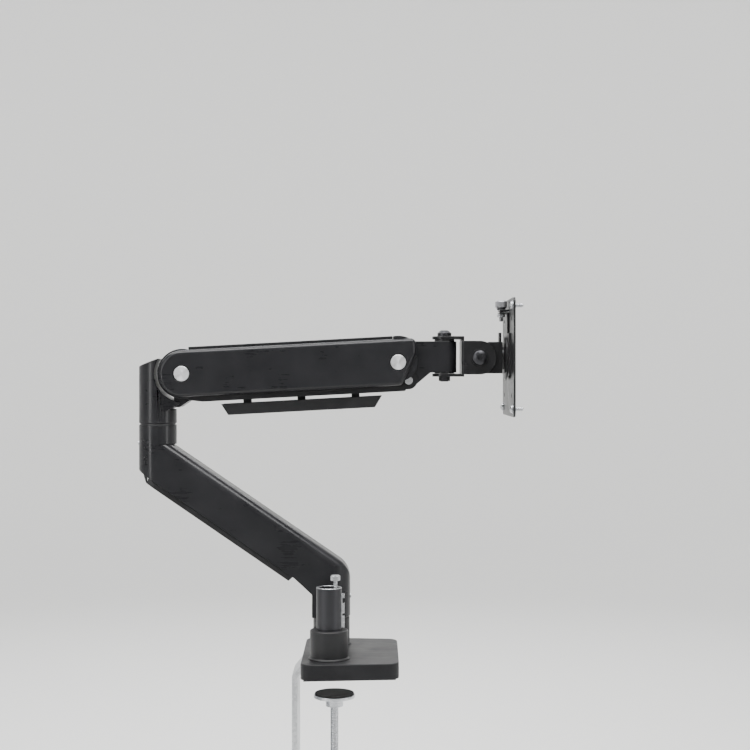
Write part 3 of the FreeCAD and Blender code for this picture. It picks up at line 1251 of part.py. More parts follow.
def make_parts():
    """Every sub-part, each under its own label."""
    half_pin = S["frame_inside"] + S["frame_wall"] + 2.5
    link_end = S["link_inside"] + S["link_wall"] + 0.9
    link_x, link_z = PIVOT_X + S["link_shift"], PIVOT_Z - S["link_drop"]
    front_link = (FRONT_X + S["link_shift"], FRONT_Z - S["link_drop"])
    return [
        base_plate(), base_pad(), clamp_bracket(), base_screws(), post("arm_post", 1), spare_post(),
        lock_strip(), lock_bolt(), collar("arm_post_collar", 1), collar("spare_post_collar", -1),
        swivel_washer(), clamp_nut(), clamp_pad(), clamp_pad_face(), clamp_screw(), clamp_knob(),
        lower_arm_beam(), lower_cable_cover(), swivel_bush(), elbow_bush(), set_screws(),
        elbow_thrust_washer(), elbow_knuckle(), elbow_shaft(), elbow_bolt(),
        link_rear_pins(link_end, link_x, link_z),
        cross_pin("spring_anchor_pin", S["anchor_pin"], S["ear_half"] - 0.3, anchor_x(), anchor_z()),
        upper_arm_frame(), side_cover("near_side_cover", "near"), side_cover("far_side_cover", "far"),
        top_cover(), cross_pin("rear_pivot_pin", S["pivot_pin"], half_pin, PIVOT_X, PIVOT_Z),
        cross_pin("front_pivot_pin", S["pivot_pin"], half_pin, FRONT_X, FRONT_Z), pivot_discs(),
        pivot_spacers(), gas_spring_cylinder(), gas_spring_rod(), gas_spring_eye(), lower_link(),
        cable_tray(), head_link(), cross_pin("link_front_pin", S["link_pin"], link_end, *front_link),
        wrist_washers(), wrist_bracket(), wrist_bolt(), wrist_nut(), tilt_bolt(), tilt_washers(),
        tilt_nut(), tilt_bracket(), head_bearing(), rotation_bolt(), rotation_disc(), disc_rivets(),
        slide_plate(), thumb_nut(), screen_plate(), screen_screws(), thumb_washer(), thumb_screw(),
    ]


def main():
    parts = make_parts()
    DOCUMENT.recompute()
    for thing in DOCUMENT.Objects:
        if "Invalid" in thing.State or "Error" in thing.State:
            raise RuntimeError(f"{thing.Label} ({thing.TypeId}) did not rebuild: {thing.State}")
    for part in parts:
        if part.Shape.isNull() or not part.Shape.isValid():
            raise RuntimeError(f"{part.Label} has no sound shape")
    os.makedirs("parts", exist_ok=True)
    for part in parts:
        part.Shape.exportStep(f"parts/{part.Label}.step")
    print(len(parts), "sub-parts written")


main()
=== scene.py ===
"""Looks of a gas-spring monitor arm on a two-post desk base, dressed over its CAD frame.

Lengths in the classes are millimetres in the frame of the arm: +X from the posts towards the
screen, +Y from the bare post towards the arm's own post, +Z up, and the desk top at height 0.
"""

from __future__ import annotations

import json
import logging
import math
from collections.abc import Callable, Iterable, Sequence
from dataclasses import dataclass
from enum import Enum
from functools import cache
from typing import Any

import bmesh
import bpy
from mathutils import Matrix, Vector


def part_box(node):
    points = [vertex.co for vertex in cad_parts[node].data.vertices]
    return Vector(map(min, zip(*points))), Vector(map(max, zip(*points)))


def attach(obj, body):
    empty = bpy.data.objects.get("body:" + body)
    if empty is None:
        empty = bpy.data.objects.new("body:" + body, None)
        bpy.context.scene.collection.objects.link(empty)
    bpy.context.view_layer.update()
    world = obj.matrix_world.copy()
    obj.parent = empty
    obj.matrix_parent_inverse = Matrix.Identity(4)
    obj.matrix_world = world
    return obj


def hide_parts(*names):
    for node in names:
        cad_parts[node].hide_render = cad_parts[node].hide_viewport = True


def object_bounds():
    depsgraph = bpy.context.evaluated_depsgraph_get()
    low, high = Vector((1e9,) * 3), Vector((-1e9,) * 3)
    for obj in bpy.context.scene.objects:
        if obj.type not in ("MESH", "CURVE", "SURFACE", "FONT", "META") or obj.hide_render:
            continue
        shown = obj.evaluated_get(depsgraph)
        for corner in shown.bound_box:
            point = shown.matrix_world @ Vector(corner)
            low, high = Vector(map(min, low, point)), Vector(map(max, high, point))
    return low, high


LOG = logging.getLogger("monitor_arm")
MM = 0.001
ARM_Y = 37.0
NUMBER = "NodeSocketFloat"
LACQUER_ROUGHNESS = 0.12
SPUN_ANISOTROPY, SPUN_ROTATION = 0.92, 0.25
DUST_COLOUR = (0.16, 0.155, 0.15, 1)

Point = tuple[float, float]
Colour = tuple[float, float, float]
EdgeTest = Callable[[Vector, Vector], bool]
Piece = bpy.types.Object
Socket = bpy.types.NodeSocket
Group = bpy.types.ShaderNodeTree

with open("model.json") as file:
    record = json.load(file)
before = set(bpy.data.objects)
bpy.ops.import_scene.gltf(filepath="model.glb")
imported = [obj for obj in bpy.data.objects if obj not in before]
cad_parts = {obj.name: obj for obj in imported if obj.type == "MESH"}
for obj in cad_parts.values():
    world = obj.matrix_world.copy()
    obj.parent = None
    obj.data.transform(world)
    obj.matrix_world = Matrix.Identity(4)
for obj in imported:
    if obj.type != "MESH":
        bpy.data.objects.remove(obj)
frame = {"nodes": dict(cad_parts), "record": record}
CAD_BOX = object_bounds()


# ---------------------------------------------------------------- node trees


class Wiring:
    """Adds and links the nodes of one tree, shader or geometry."""

    def __init__(self, tree: bpy.types.NodeTree) -> None:
        """Keep the tree that is being wired."""
        self.tree = tree

    def add(self, kind: str, inputs: dict[Any, Any] | None = None, **settings: Any) -> bpy.types.Node:
        """Add a node.

        Args:
            kind: Blender's type name of the node.
            inputs: Values or output sockets, by input name or number.
            settings: Properties of the node itself.

        Returns:
            The new node.
        """
        node = self.tree.nodes.new(kind)
        for name, value in settings.items():
            setattr(node, name, value)
        for key, value in (inputs or {}).items():
            self.feed(node.inputs[key], value)
        return node

    def feed(self, socket: Socket, value: Any) -> None:
        """Link an output to a socket, or set the socket's own value.

        Args:
            socket: The input socket.
            value: An output socket or a plain value.
        """
        if isinstance(value, Socket):
            self.tree.links.new(value, socket)
        else:
            socket.default_value = value

    def math(self, operation: str, first: Any, second: Any = 0.0) -> Socket:
        """Add a Math node and return its result."""
        return self.add("ShaderNodeMath", {0: first, 1: second}, operation=operation).outputs[0]

    def plus(self, first: Any, second: Any) -> Socket:
        """The sum of two numbers."""
        return self.math("ADD", first, second)

    def times(self, first: Any, second: Any) -> Socket:
        """The product of two numbers."""
        return self.math("MULTIPLY", first, second)

    def place(self) -> Socket:
        """The point on the object that is being shaded."""
        return self.add("ShaderNodeTexCoord").outputs["Object"]

    def parts(self, vector: Socket) -> Sequence[Socket]:
        """The three parts of a vector."""
        return self.add("ShaderNodeSeparateXYZ", {0: vector}).outputs

    def noise(self, place: Socket, scale: Any, detail: float, rough: float = 0.5) -> Socket:
        """Add a Noise Texture and return its value.

        Args:
            place: Where it is read.
            scale: Its cells per metre.
            detail: Its octaves.
            rough: Strength of each octave against the one before.

        Returns:
            The noise, from 0 to 1.
        """
        return self.add("ShaderNodeTexNoise", {"Vector": place, "Scale": scale, "Detail": detail,
                                               "Roughness": rough}).outputs[0]

    def blend(self, share: Any, first: Any, second: Any) -> Socket:
        """Mix two colours.

        Args:
            share: Share of the second colour.
            first: First colour.
            second: Second colour.

        Returns:
            The mixed colour.
        """
        node = self.add("ShaderNodeMix", {"Factor": share}, data_type="RGBA")
        self.feed(node.inputs[6], first)
        self.feed(node.inputs[7], second)
        return node.outputs[2]

    def spread(self, value: Any, low: float, high: float, start: float = 0.0, end: float = 1.0) -> Socket:
        """Map a number from one range to another.

        Args:
            value: The number.
            low: Result where the number is at start.
            high: Result where the number is at end.
            start: Start of the number's range.
            end: End of the number's range.

        Returns:
            The mapped number, kept between low and high.
        """
        return self.add("ShaderNodeMapRange", {"Value": value, "From Min": start, "From Max": end,
                                               "To Min": low, "To Max": high}).outputs[0]


class Effect:
    """Shader groups that several finishes share, each built once."""

    @staticmethod
    def start(name: str, inputs: dict[str, float], outputs: Sequence[str]) -> tuple[Wiring, Any, Any]:
        """Open an empty group.

        Args:
            name: The group's name.
            inputs: Default of each number it takes, by name.
            outputs: Name of each number it gives.

        Returns:
            The wiring, the sockets of what the group is given, and of what it gives.
        """
        tree = bpy.data.node_groups.new(name, "ShaderNodeTree")
        for label, default in inputs.items():
            tree.interface.new_socket(label, in_out="INPUT", socket_type=NUMBER).default_value = default
        for label in outputs:
            tree.interface.new_socket(label, in_out="OUTPUT", socket_type=NUMBER)
        wiring = Wiring(tree)
        return wiring, wiring.add("NodeGroupInput").outputs, wiring.add("NodeGroupOutput").inputs

    @staticmethod
    @cache
    def grain() -> Group:
        """Fine orange-peel grain with slow mottling and sparse specks.

        Returns:
            The group, which gives Height, Mottle and Specks.
        """
        w, given, made = Effect.start("fine_grain", {"Grain Scale": 2200.0, "Mottle Scale": 40.0},
                                      ("Height", "Mottle", "Specks"))
        place = w.place()
        pits = w.add("ShaderNodeTexVoronoi", {"Vector": place, "Scale": w.times(given[0], 0.6)},
                     feature="SMOOTH_F1").outputs["Distance"]
        w.feed(made[0], w.plus(w.times(w.noise(place, given[0], 3.0, 0.6), 0.7), w.times(pits, 0.3)))
        w.feed(made[1], w.spread(w.noise(place, given[1], 5.0, 0.55), 0.0, 1.0, 0.32, 0.68))
        w.feed(made[2], w.spread(w.noise(place, 900.0, 1.0), 0.0, 1.0, 0.70, 0.76))
        return w.tree

    @staticmethod
    @cache
    def dust() -> Group:
        """Where dust settles: on what faces up, in soft drifts.

        Returns:
            The group, which gives Dust.
        """
        w, given, made = Effect.start("settled_dust", {"Amount": 0.3, "Drift Scale": 60.0}, ("Dust",))
        facing = w.parts(w.add("ShaderNodeNewGeometry").outputs["Normal"])[2]
        upward = w.spread(facing, 0.0, 1.0, 0.55, 1.0)
        patchy = w.spread(w.noise(w.place(), given[1], 6.0, 0.65), 0.25, 1.0, 0.35, 0.7)
        w.feed(made[0], w.times(w.times(upward, patchy), given[0]))
        return w.tree

    @staticmethod
    @cache
    def rings() -> Group:
        """Tool marks of turned metal: rings that follow the piece's own UV map.

        Returns:
            The group, which gives Height and Tone.
        """
        w, given, made = Effect.start("turning_marks", {"Rings per Metre": 5200.0}, ("Height", "Tone"))
        travel = w.times(w.parts(w.add("ShaderNodeUVMap").outputs[0])[1], given[0])
        uneven = w.add("ShaderNodeTexNoise", {"W": w.times(travel, 0.37), "Scale": 1.0, "Detail": 4.0},
                       noise_dimensions="1D").outputs[0]
        wave = w.times(w.plus(w.math("SINE", w.times(travel, 2 * math.pi)), 1.0), 0.5)
        w.feed(made[0], w.times(wave, uneven))
        w.feed(made[1], uneven)
        return w.tree

    @staticmethod
    @cache
    def scuffs() -> Group:
        """Long faint rub marks along X.

        Returns:
            The group, which gives Marks.
        """
        w, given, made = Effect.start("rub_marks", {"Mark Scale": 300.0, "Length": 14.0}, ("Marks",))
        x, y, z = w.parts(w.place())
        drawn = w.add("ShaderNodeCombineXYZ", {0: w.math("DIVIDE", x, given[1]), 1: y, 2: z}).outputs[0]
        w.feed(made[0], w.spread(w.noise(drawn, given[0], 4.0, 0.7), 0.0, 1.0, 0.35, 0.65))
        return w.tree

    @staticmethod
    @cache
    def spangle() -> Group:
        """Crystals of a zinc coat: flat cells of differing tone.

        Returns:
            The group, which gives Tone and Height.
        """
        w, given, made = Effect.start("zinc_crystals", {"Cell Scale": 420.0}, ("Tone", "Height"))
        place = w.place()
        bent = w.add("ShaderNodeTexNoise", {"Vector": place, "Scale": 300.0, "Detail": 2.0}).outputs[1]
        drawn = w.add("ShaderNodeVectorMath", {0: place, 1: bent}, operation="ADD").outputs[0]
        cells = w.add("ShaderNodeTexVoronoi", {"Vector": place, "Scale": given[0]}).outputs
        tone = w.add("ShaderNodeSeparateColor", {0: cells["Color"]}).outputs[0]
        w.feed(made[0], w.plus(w.times(tone, 0.7), w.times(w.noise(drawn, 30.0, 3.0), 0.3)))
        w.feed(made[1], cells["Distance"])
        return w.tree


class Texture(Enum):
    """What the surface of a finish is made like."""

    POWDER = "powder coat"
    MOULDED = "moulded plastic"
    OILED = "oiled black oxide"
    TURNED = "turned metal"
    DRAWN = "drawn or rolled metal"
    ZINC = "zinc coat"
    RUBBER = "rubber"


@dataclass(frozen=True)
class Finish:
    """One finish of the arm, with the record slot it stands for.

    Attributes:
        name: The material's name.
        slot: The record's material slot; not used.
        texture: How its surface is made.
        colour: Main colour, linear.
        second: Colour that the mottling drifts towards.
        gloss: Lowest and highest roughness.
        metal: Metallic share.
        coat: Clear lacquer over it.
        grain: Grain cells per metre.
        relief: Height of the grain in millimetres.
        dust: Share of dust on what faces up.
        shine: Strength of the reflection of a coat that isn't metal.
    """

    name: str
    slot: str
    texture: Texture
    colour: Colour
    second: Colour
    gloss: tuple[float, float]
    metal: float = 0.0
    coat: float = 0.0
    grain: float = 2200.0
    relief: float = 0.02
    dust: float = 0.12
    shine: float = 0.5

    def material(self) -> bpy.types.Material:
        """Build the finish as a material, the first time it is asked for.

        Returns:
            The material.
        """
        known = bpy.data.materials.get(self.name)
        if known is not None:
            return known
        material = bpy.data.materials.new(self.name)
        material.use_nodes = True
        w = Wiring(material.node_tree)
        shader = material.node_tree.nodes["Principled BSDF"].inputs
        for label, value in (("Metallic", self.metal), ("Coat Weight", self.coat),
                             ("Coat Roughness", LACQUER_ROUGHNESS), ("Specular IOR Level", self.shine)):
            shader[label].default_value = value
        grain = w.add("ShaderNodeGroup", {"Grain Scale": self.grain}, node_tree=Effect.grain()).outputs
        height, tone = grain["Height"], grain["Mottle"]
        if self.texture is Texture.TURNED:
            rings = w.add("ShaderNodeGroup", node_tree=Effect.rings()).outputs
            height, tone = rings["Height"], rings["Tone"]
            shader["Anisotropic"].default_value = SPUN_ANISOTROPY
            shader["Anisotropic Rotation"].default_value = SPUN_ROTATION
            w.feed(shader["Tangent"], w.add("ShaderNodeTangent", direction_type="UV_MAP").outputs[0])
        elif self.texture is Texture.DRAWN:
            height = tone = w.add("ShaderNodeGroup", node_tree=Effect.scuffs()).outputs["Marks"]
        elif self.texture is Texture.ZINC:
            crystals = w.add("ShaderNodeGroup", node_tree=Effect.spangle()).outputs
            tone = crystals["Tone"]
            height = w.plus(w.times(crystals["Height"], 0.4), height)
        colour = w.blend(tone, (*self.colour, 1), (*self.second, 1))
        colour = w.blend(w.times(grain["Specks"], 0.25), colour,
                         (*[min(1.0, part * 1.6 + 0.02) for part in self.second], 1))
        rough = w.spread(tone, *self.gloss)
        if self.texture in (Texture.POWDER, Texture.OILED, Texture.MOULDED):
            rubbed = w.add("ShaderNodeGroup", node_tree=Effect.scuffs()).outputs["Marks"]
            rough = w.plus(rough, w.spread(rubbed, -0.03, 0.03))
        dust = w.add("ShaderNodeGroup", {"Amount": self.dust}, node_tree=Effect.dust()).outputs[0]
        w.feed(shader["Base Color"], w.blend(dust, colour, DUST_COLOUR))
        w.feed(shader["Roughness"], w.plus(rough, w.times(dust, 0.35)))
        bump = w.add("ShaderNodeBump", {"Height": height, "Strength": 1.0, "Distance": self.relief * MM})
        w.feed(shader["Normal"], bump.outputs[0])
        return material


ARM_PAINT = Finish("charcoal_powder_coat", "painted_arm", Texture.POWDER, (0.0095, 0.0095, 0.011),
                   (0.015, 0.015, 0.017), (0.27, 0.36), coat=0.06, grain=2600, relief=0.012, dust=0.05, shine=0.26)
BASE_PAINT = Finish("base_powder_coat", "painted_base", Texture.POWDER, (0.010, 0.010, 0.011),
                    (0.016, 0.016, 0.0175), (0.36, 0.46), coat=0.0, grain=2000, relief=0.018, dust=0.04, shine=0.2)
BRACKET_PAINT = Finish("bracket_powder_coat", "painted_bracket", Texture.POWDER, (0.009, 0.009, 0.010),
                       (0.014, 0.014, 0.015), (0.28, 0.38), coat=0.05, grain=2900, relief=0.012, dust=0.05,
                       shine=0.26)
BLACK_OXIDE = Finish("black_oxide", "black_oxide", Texture.OILED, (0.07, 0.068, 0.066),
                     (0.11, 0.105, 0.1), (0.14, 0.26), metal=1.0, grain=3200, relief=0.006, dust=0.03)
BRIGHT_STEEL = Finish("bright_zinc_steel", "bright_steel", Texture.DRAWN, (0.62, 0.63, 0.65),
                      (0.48, 0.49, 0.51), (0.18, 0.34), metal=1.0, relief=0.006, dust=0.03)
SPUN_SILVER = Finish("spun_silver", "spun_aluminium", Texture.TURNED, (0.86, 0.86, 0.87),
                     (0.74, 0.74, 0.76), (0.42, 0.52), metal=1.0, relief=0.004, dust=0.0)
ZINC = Finish("dull_zinc", "zinc_bracket", Texture.ZINC, (0.46, 0.47, 0.49), (0.68, 0.69, 0.7),
              (0.3, 0.5), metal=1.0, grain=1800, relief=0.02, dust=0.05)
GREY_KNURL = Finish("grey_knurl", "grey_knurl", Texture.DRAWN, (0.05, 0.05, 0.053), (0.08, 0.08, 0.084),
                    (0.3, 0.42), metal=1.0, relief=0.008)
BLACK_PLASTIC = Finish("black_nylon", "black_plastic", Texture.MOULDED, (0.010, 0.010, 0.011),
                       (0.015, 0.015, 0.016), (0.38, 0.5), grain=1500, relief=0.02, dust=0.05, shine=0.35)
KNOB_PLASTIC = Finish("knob_plastic", "knob_plastic", Texture.MOULDED, (0.015, 0.015, 0.016),
                      (0.024, 0.024, 0.025), (0.38, 0.52), grain=1200, relief=0.04)
RUBBER = Finish("matt_rubber", "rubber", Texture.RUBBER, (0.02, 0.02, 0.02), (0.03, 0.03, 0.03),
                (0.78, 0.9), grain=1700, relief=0.05)
ACETAL = Finish("dark_acetal", "bearing_plastic", Texture.MOULDED, (0.03, 0.03, 0.032),
                (0.04, 0.04, 0.043), (0.3, 0.42), grain=1500, relief=0.01)
STRUT_GLOSS = Finish("strut_gloss", "strut_black", Texture.POWDER, (0.012, 0.012, 0.013),
                     (0.02, 0.02, 0.021), (0.16, 0.24), coat=0.5, grain=1400, relief=0.006)
POLISHED = Finish("polished_rod", "polished_rod", Texture.DRAWN, (0.75, 0.75, 0.77), (0.66, 0.66, 0.68),
                  (0.05, 0.1), metal=1.0, relief=0.002, dust=0.0)


# ---------------------------------------------------------------- meshes


class Workshop:
    """Makes, cuts and rounds meshes; every length it takes is in millimetres."""

    @staticmethod
    def from_bmesh(name: str, shape: bmesh.types.BMesh) -> Piece:
        """Turn a bmesh into an object of the scene and free it.

        Args:
            name: Name of the piece.
            shape: The bmesh, in metres.

        Returns:
            The piece.
        """
        mesh = bpy.data.meshes.new(name)
        shape.to_mesh(mesh)
        shape.free()
        piece = bpy.data.objects.new(name, mesh)
        bpy.context.scene.collection.objects.link(piece)
        return piece

    @staticmethod
    def settle(piece: Piece) -> Piece:
        """Apply a piece's modifiers to its mesh.

        Args:
            piece: The piece.

        Returns:
            The same piece, without modifiers.
        """
        view = bpy.context.evaluated_depsgraph_get()
        mesh = bpy.data.meshes.new_from_object(piece.evaluated_get(view), depsgraph=view)
        piece.modifiers.clear()
        piece.data = mesh
        mesh.name = piece.name
        return piece

    @classmethod
    def cad_copy(cls, node: str, name: str) -> Piece:
        """A copy of a CAD piece with its triangles merged into flat faces.

        Args:
            node: The CAD piece.
            name: Name of the copy.

        Returns:
            The copy, at the origin like the CAD piece.
        """
        shape = bmesh.new()
        shape.from_mesh(frame["nodes"][node].data)
        bmesh.ops.remove_doubles(shape, verts=shape.verts[:], dist=2e-6)
        bmesh.ops.dissolve_limit(shape, angle_limit=math.radians(0.6), verts=shape.verts[:],
                                 edges=shape.edges[:], use_dissolve_boundaries=False)
        return cls.from_bmesh(name, shape)

    @staticmethod
    def bend(piece: Piece, radius: float, wanted: EdgeTest) -> None:
        """Round chosen edges of a piece, such as the bends of a sheet.

        Args:
            piece: The piece.
            radius: Radius of the bend.
            wanted: Tells from an edge's two ends, in millimetres, whether it is one.
        """
        shape = bmesh.new()
        shape.from_mesh(piece.data)
        edges = [edge for edge in shape.edges if wanted(*(end.co / MM for end in edge.verts))]
        bmesh.ops.bevel(shape, geom=edges, offset=radius * MM, offset_type="OFFSET", segments=6,
                        profile=0.5, affect="EDGES", clamp_overlap=True)
        shape.to_mesh(piece.data)
        shape.free()

    @classmethod
    def cut(cls, piece: Piece, cutters: Iterable[Piece], operation: str = "DIFFERENCE") -> Piece:
        """Cut a piece with other shapes and throw those away.

        Args:
            piece: The piece.
            cutters: The shapes.
            operation: What the cut leaves, as the Boolean modifier names it.

        Returns:
            The piece.
        """
        for cutter in cutters:
            step = piece.modifiers.new("cut", "BOOLEAN")
            step.operation, step.solver, step.object = operation, "EXACT", cutter
            cls.settle(piece)
            bpy.data.objects.remove(cutter)
        return piece

    @classmethod
    def soften(cls, piece: Piece, edge: float, segments: int = 2, angle: float = 32) -> Piece:
        """Round every sharp edge and smooth what curves.

        Args:
            piece: The piece.
            edge: Width of the rounding; 0 leaves the edges sharp.
            segments: Steps in the rounding.
            angle: Least angle between faces that counts as an edge, in degrees.

        Returns:
            The piece.
        """
        if edge > 0:
            step = piece.modifiers.new("edges", "BEVEL")
            step.width = edge * MM
            step.segments = segments
            step.limit_method = "ANGLE"
            step.angle_limit = math.radians(angle)
            step.use_clamp_overlap = False
            step.miter_outer = "MITER_ARC"
            cls.settle(piece)
        for face in piece.data.polygons:
            face.use_smooth = True
        piece.data.set_sharp_from_angle(angle=math.radians(angle + 4))
        step = piece.modifiers.new("flats", "WEIGHTED_NORMAL")
        step.keep_sharp = True
        return cls.settle(piece)

    @staticmethod
    def polygon(radius: float, sides: int) -> list[Point]:
        """Corners of a regular polygon, or its centre alone where the radius is 0."""
        turns = [2 * math.pi * k / sides for k in range(sides if radius else 1)]
        return [(radius * math.cos(turn), radius * math.sin(turn)) for turn in turns]

    @staticmethod
    def rounded(corners: Sequence[Point], radius: float, steps: int = 4) -> list[Point]:
        """An open outline with its inner corners rounded.

        Args:
            corners: The corners, in order.
            radius: Radius of the rounding, less where a side is short.
            steps: Points on each rounding.

        Returns:
            The outline with its ends as they were.
        """
        made = [corners[0]]
        for before, here, after in zip(corners, corners[1:], corners[2:]):
            corner = Vector(here)
            back, ahead = Vector(before) - corner, Vector(after) - corner
            reach = min(radius, back.length * 0.45, ahead.length * 0.45)
            start, end = corner + back.normalized() * reach, corner + ahead.normalized() * reach
            for step in range(steps + 1):
                share = step / steps
                made.append(tuple(start.lerp(corner, share).lerp(corner.lerp(end, share), share)))
        made.append(corners[-1])
        return made

    @classmethod
    def lathe(cls, name: str, profile: Sequence[Point], place: Matrix, sides: int = 64,
              shell: bool = False) -> Piece:
        """A turned piece with a UV map of turns and travel.

        Args:
            name: Name of the piece.
            profile: Radius and height of each point; a radius of 0 closes an end.
            place: Where the turning axis, +Z, and its foot go, in metres.
            sides: Flats round the axis.
            shell: Whether an end that isn't closed stays open.

        Returns:
            The piece.
        """
        shape = bmesh.new()
        layer = shape.loops.layers.uv.new("turned")
        closed = not shell and (profile[0][0] > 0 or profile[-1][0] > 0)
        loop = list(profile) + ([profile[0]] if closed else [])
        travel = [0.0]
        for first, second in zip(loop, loop[1:]):
            travel.append(travel[-1] + math.dist(first, second) * MM)
        rings = [[shape.verts.new((x * MM, y * MM, height * MM)) for x, y in cls.polygon(radius, sides)]
                 for radius, height in profile]
        rings += [rings[0]] if closed else []
        for number, (low, high) in enumerate(zip(rings, rings[1:])):
            for k in range(sides):
                near = [(low[k % len(low)], k, number), (low[(k + 1) % len(low)], k + 1, number),
                        (high[(k + 1) % len(high)], k + 1, number + 1), (high[k % len(high)], k, number + 1)]
                corners = [item for at, item in enumerate(near)
                           if item[0] not in [other[0] for other in near[:at]]]
                if len(corners) < 3:
                    continue
                face = shape.faces.new([item[0] for item in corners])
                for loop_corner, (_, turn, step) in zip(face.loops, corners):
                    loop_corner[layer].uv = (turn / sides, travel[step])
        bmesh.ops.recalc_face_normals(shape, faces=shape.faces[:])
        shape.transform(place)
        return cls.from_bmesh(name, shape)

    @classmethod
    def prism(cls, name: str, outline: Sequence[Point], low: float, high: float, place: Matrix) -> Piece:
        """A straight solid over an outline.

        Args:
            name: Name of the piece.
            outline: Its corners, in order.
            low: Where it starts along its own +Z.
            high: Where it ends.
            place: Where its own origin goes, in metres.

        Returns:
            The piece.
        """
        shape = bmesh.new()
        foot, top = ([shape.verts.new((x * MM, y * MM, level * MM)) for x, y in outline]
                     for level in (low, high))
        shape.faces.new(list(reversed(foot)))
        shape.faces.new(top)
        for k in range(len(outline)):
            after = (k + 1) % len(outline)
            shape.faces.new((foot[k], foot[after], top[after], top[k]))
        bmesh.ops.recalc_face_normals(shape, faces=shape.faces[:])
        shape.transform(place)
        return cls.from_bmesh(name, shape)

    @classmethod
    def hexagon(cls, name: str, across: float, low: float, high: float, place: Matrix) -> Piece:
        """A hexagon prism, given its width across the flats."""
        return cls.prism(name, cls.polygon(across / math.sqrt(3), 6), low, high, place)

    @classmethod
    def hex_socket(cls, across: float, depth: float, place: Matrix) -> Piece:
        """A cutter for a hexagon socket, sunk from the place's own top."""
        return cls.hexagon("socket", across, -depth, 5, place)

    @classmethod
    def cross_recess(cls, reach: float, width: float, depth: float, place: Matrix) -> Piece:
        """A cutter for a cross recess.

        Args:
            reach: Length of each arm from the middle.
            width: Width of each arm.
            depth: How far it is sunk from the place's own top.
            place: Where it goes.

        Returns:
            The cutter.
        """
        half = width / 2
        outline = [(reach, -half), (reach, half), (half, half), (half, reach), (-half, reach), (-half, half),
                   (-reach, half), (-reach, -half), (-half, -half), (-half, -reach), (half, -reach),
                   (half, -half)]
        return cls.prism("recess", outline, -depth, 5, place)

    @classmethod
    def join(cls, name: str, pieces: Sequence[Piece]) -> Piece:
        """Gather several pieces in one mesh.

        Args:
            name: Name of the new piece.
            pieces: The pieces, which are used up.

        Returns:
            The new piece.
        """
        shape = bmesh.new()
        for piece in pieces:
            shape.from_mesh(piece.data)
        for piece in pieces:
            bpy.data.objects.remove(piece)
        return cls.from_bmesh(name, shape)


UP, DOWN, NEAR, FAR = (0, 0, 1), (0, 0, -1), (0, -1, 0), (0, 1, 0)
FORWARD, BACK = (1, 0, 0), (-1, 0, 0)


def towards(direction: Sequence[float], x: float, y: float, z: float) -> Matrix:
    """A place whose own +Z looks in a direction, at a point in millimetres."""
    turn = Vector(direction).to_track_quat("Z", "Y").to_matrix().to_4x4()
    return Matrix.Translation(Vector((x, y, z)) * MM) @ turn


@dataclass(frozen=True)
class Extent:
    """Box of a CAD piece.

    Attributes:
        low: Its lowest corner in millimetres.
        high: Its highest corner in millimetres.
    """

    low: Vector
    high: Vector

    @classmethod
    def of(cls, node: str) -> Extent:
        """The box of a CAD piece, by name."""
        low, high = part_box(node)
        return cls(Vector(low) / MM, Vector(high) / MM)

    @property
    def centre(self) -> Vector:
        """Its middle."""
        return (self.low + self.high) / 2

    def upright(self, height: float = 0.0) -> Matrix:
        """A place that looks up on its centre line, at a height."""
        return towards(UP, self.centre.x, self.centre.y, height)

    def front(self) -> Matrix:
        """The middle of its low X face, unturned."""
        return Matrix.Translation(Vector((self.low.x, self.centre.y, self.centre.z)) * MM)


class Pattern:
    """A geometry-node tree that makes something repeated, with named inputs."""

    def __init__(self, name: str, inputs: dict[str, str]) -> None:
        """Open the tree.

        Args:
            name: Name of the tree.
            inputs: Socket type of each named input.
        """
        self.tree = bpy.data.node_groups.new(name, "GeometryNodeTree")
        face = self.tree.interface
        face.new_socket("Geometry", in_out="INPUT", socket_type="NodeSocketGeometry")
        self.keys = {label: face.new_socket(label, in_out="INPUT", socket_type=kind).identifier
                     for label, kind in {**inputs, "Finish": "NodeSocketMaterial"}.items()}
        face.new_socket("Geometry", in_out="OUTPUT", socket_type="NodeSocketGeometry")
        self.wiring = Wiring(self.tree)
        self.given = self.wiring.add("NodeGroupInput").outputs

    def close(self, geometry: Socket) -> Pattern:
        """End the tree with real geometry that carries its material.

        Args:
            geometry: What the tree makes.

        Returns:
            The pattern.
        """
        real = self.wiring.add("GeometryNodeRealizeInstances", {0: geometry})
        dressed = self.wiring.add("GeometryNodeSetMaterial", {"Geometry": real.outputs[0],
                                                              "Material": self.given["Finish"]})
        self.wiring.add("NodeGroupOutput", {0: dressed.outputs[0]})
        return self

    def make(self, name: str, place: Matrix, finish: Finish, **values: Any) -> Piece:
        """Run the tree and keep its result as a plain mesh.

        Args:
            name: Name of the piece.
            place: Where the pattern's own origin goes.
            finish: Its finish.
            values: The tree's inputs, with spaces as underscores and lengths as floats.

        Returns:
            The piece, with its place in its mesh.
        """
        piece = bpy.data.objects.new(name, bpy.data.meshes.new(name))
        bpy.context.scene.collection.objects.link(piece)
        step = piece.modifiers.new("pattern", "NODES")
        step.node_group = self.tree
        for key, value in {**values, "Finish": finish.material()}.items():
            step[self.keys[key.replace("_", " ")]] = value * MM if isinstance(value, float) else value
        Workshop.settle(piece)
        piece.data.transform(place)
        return piece


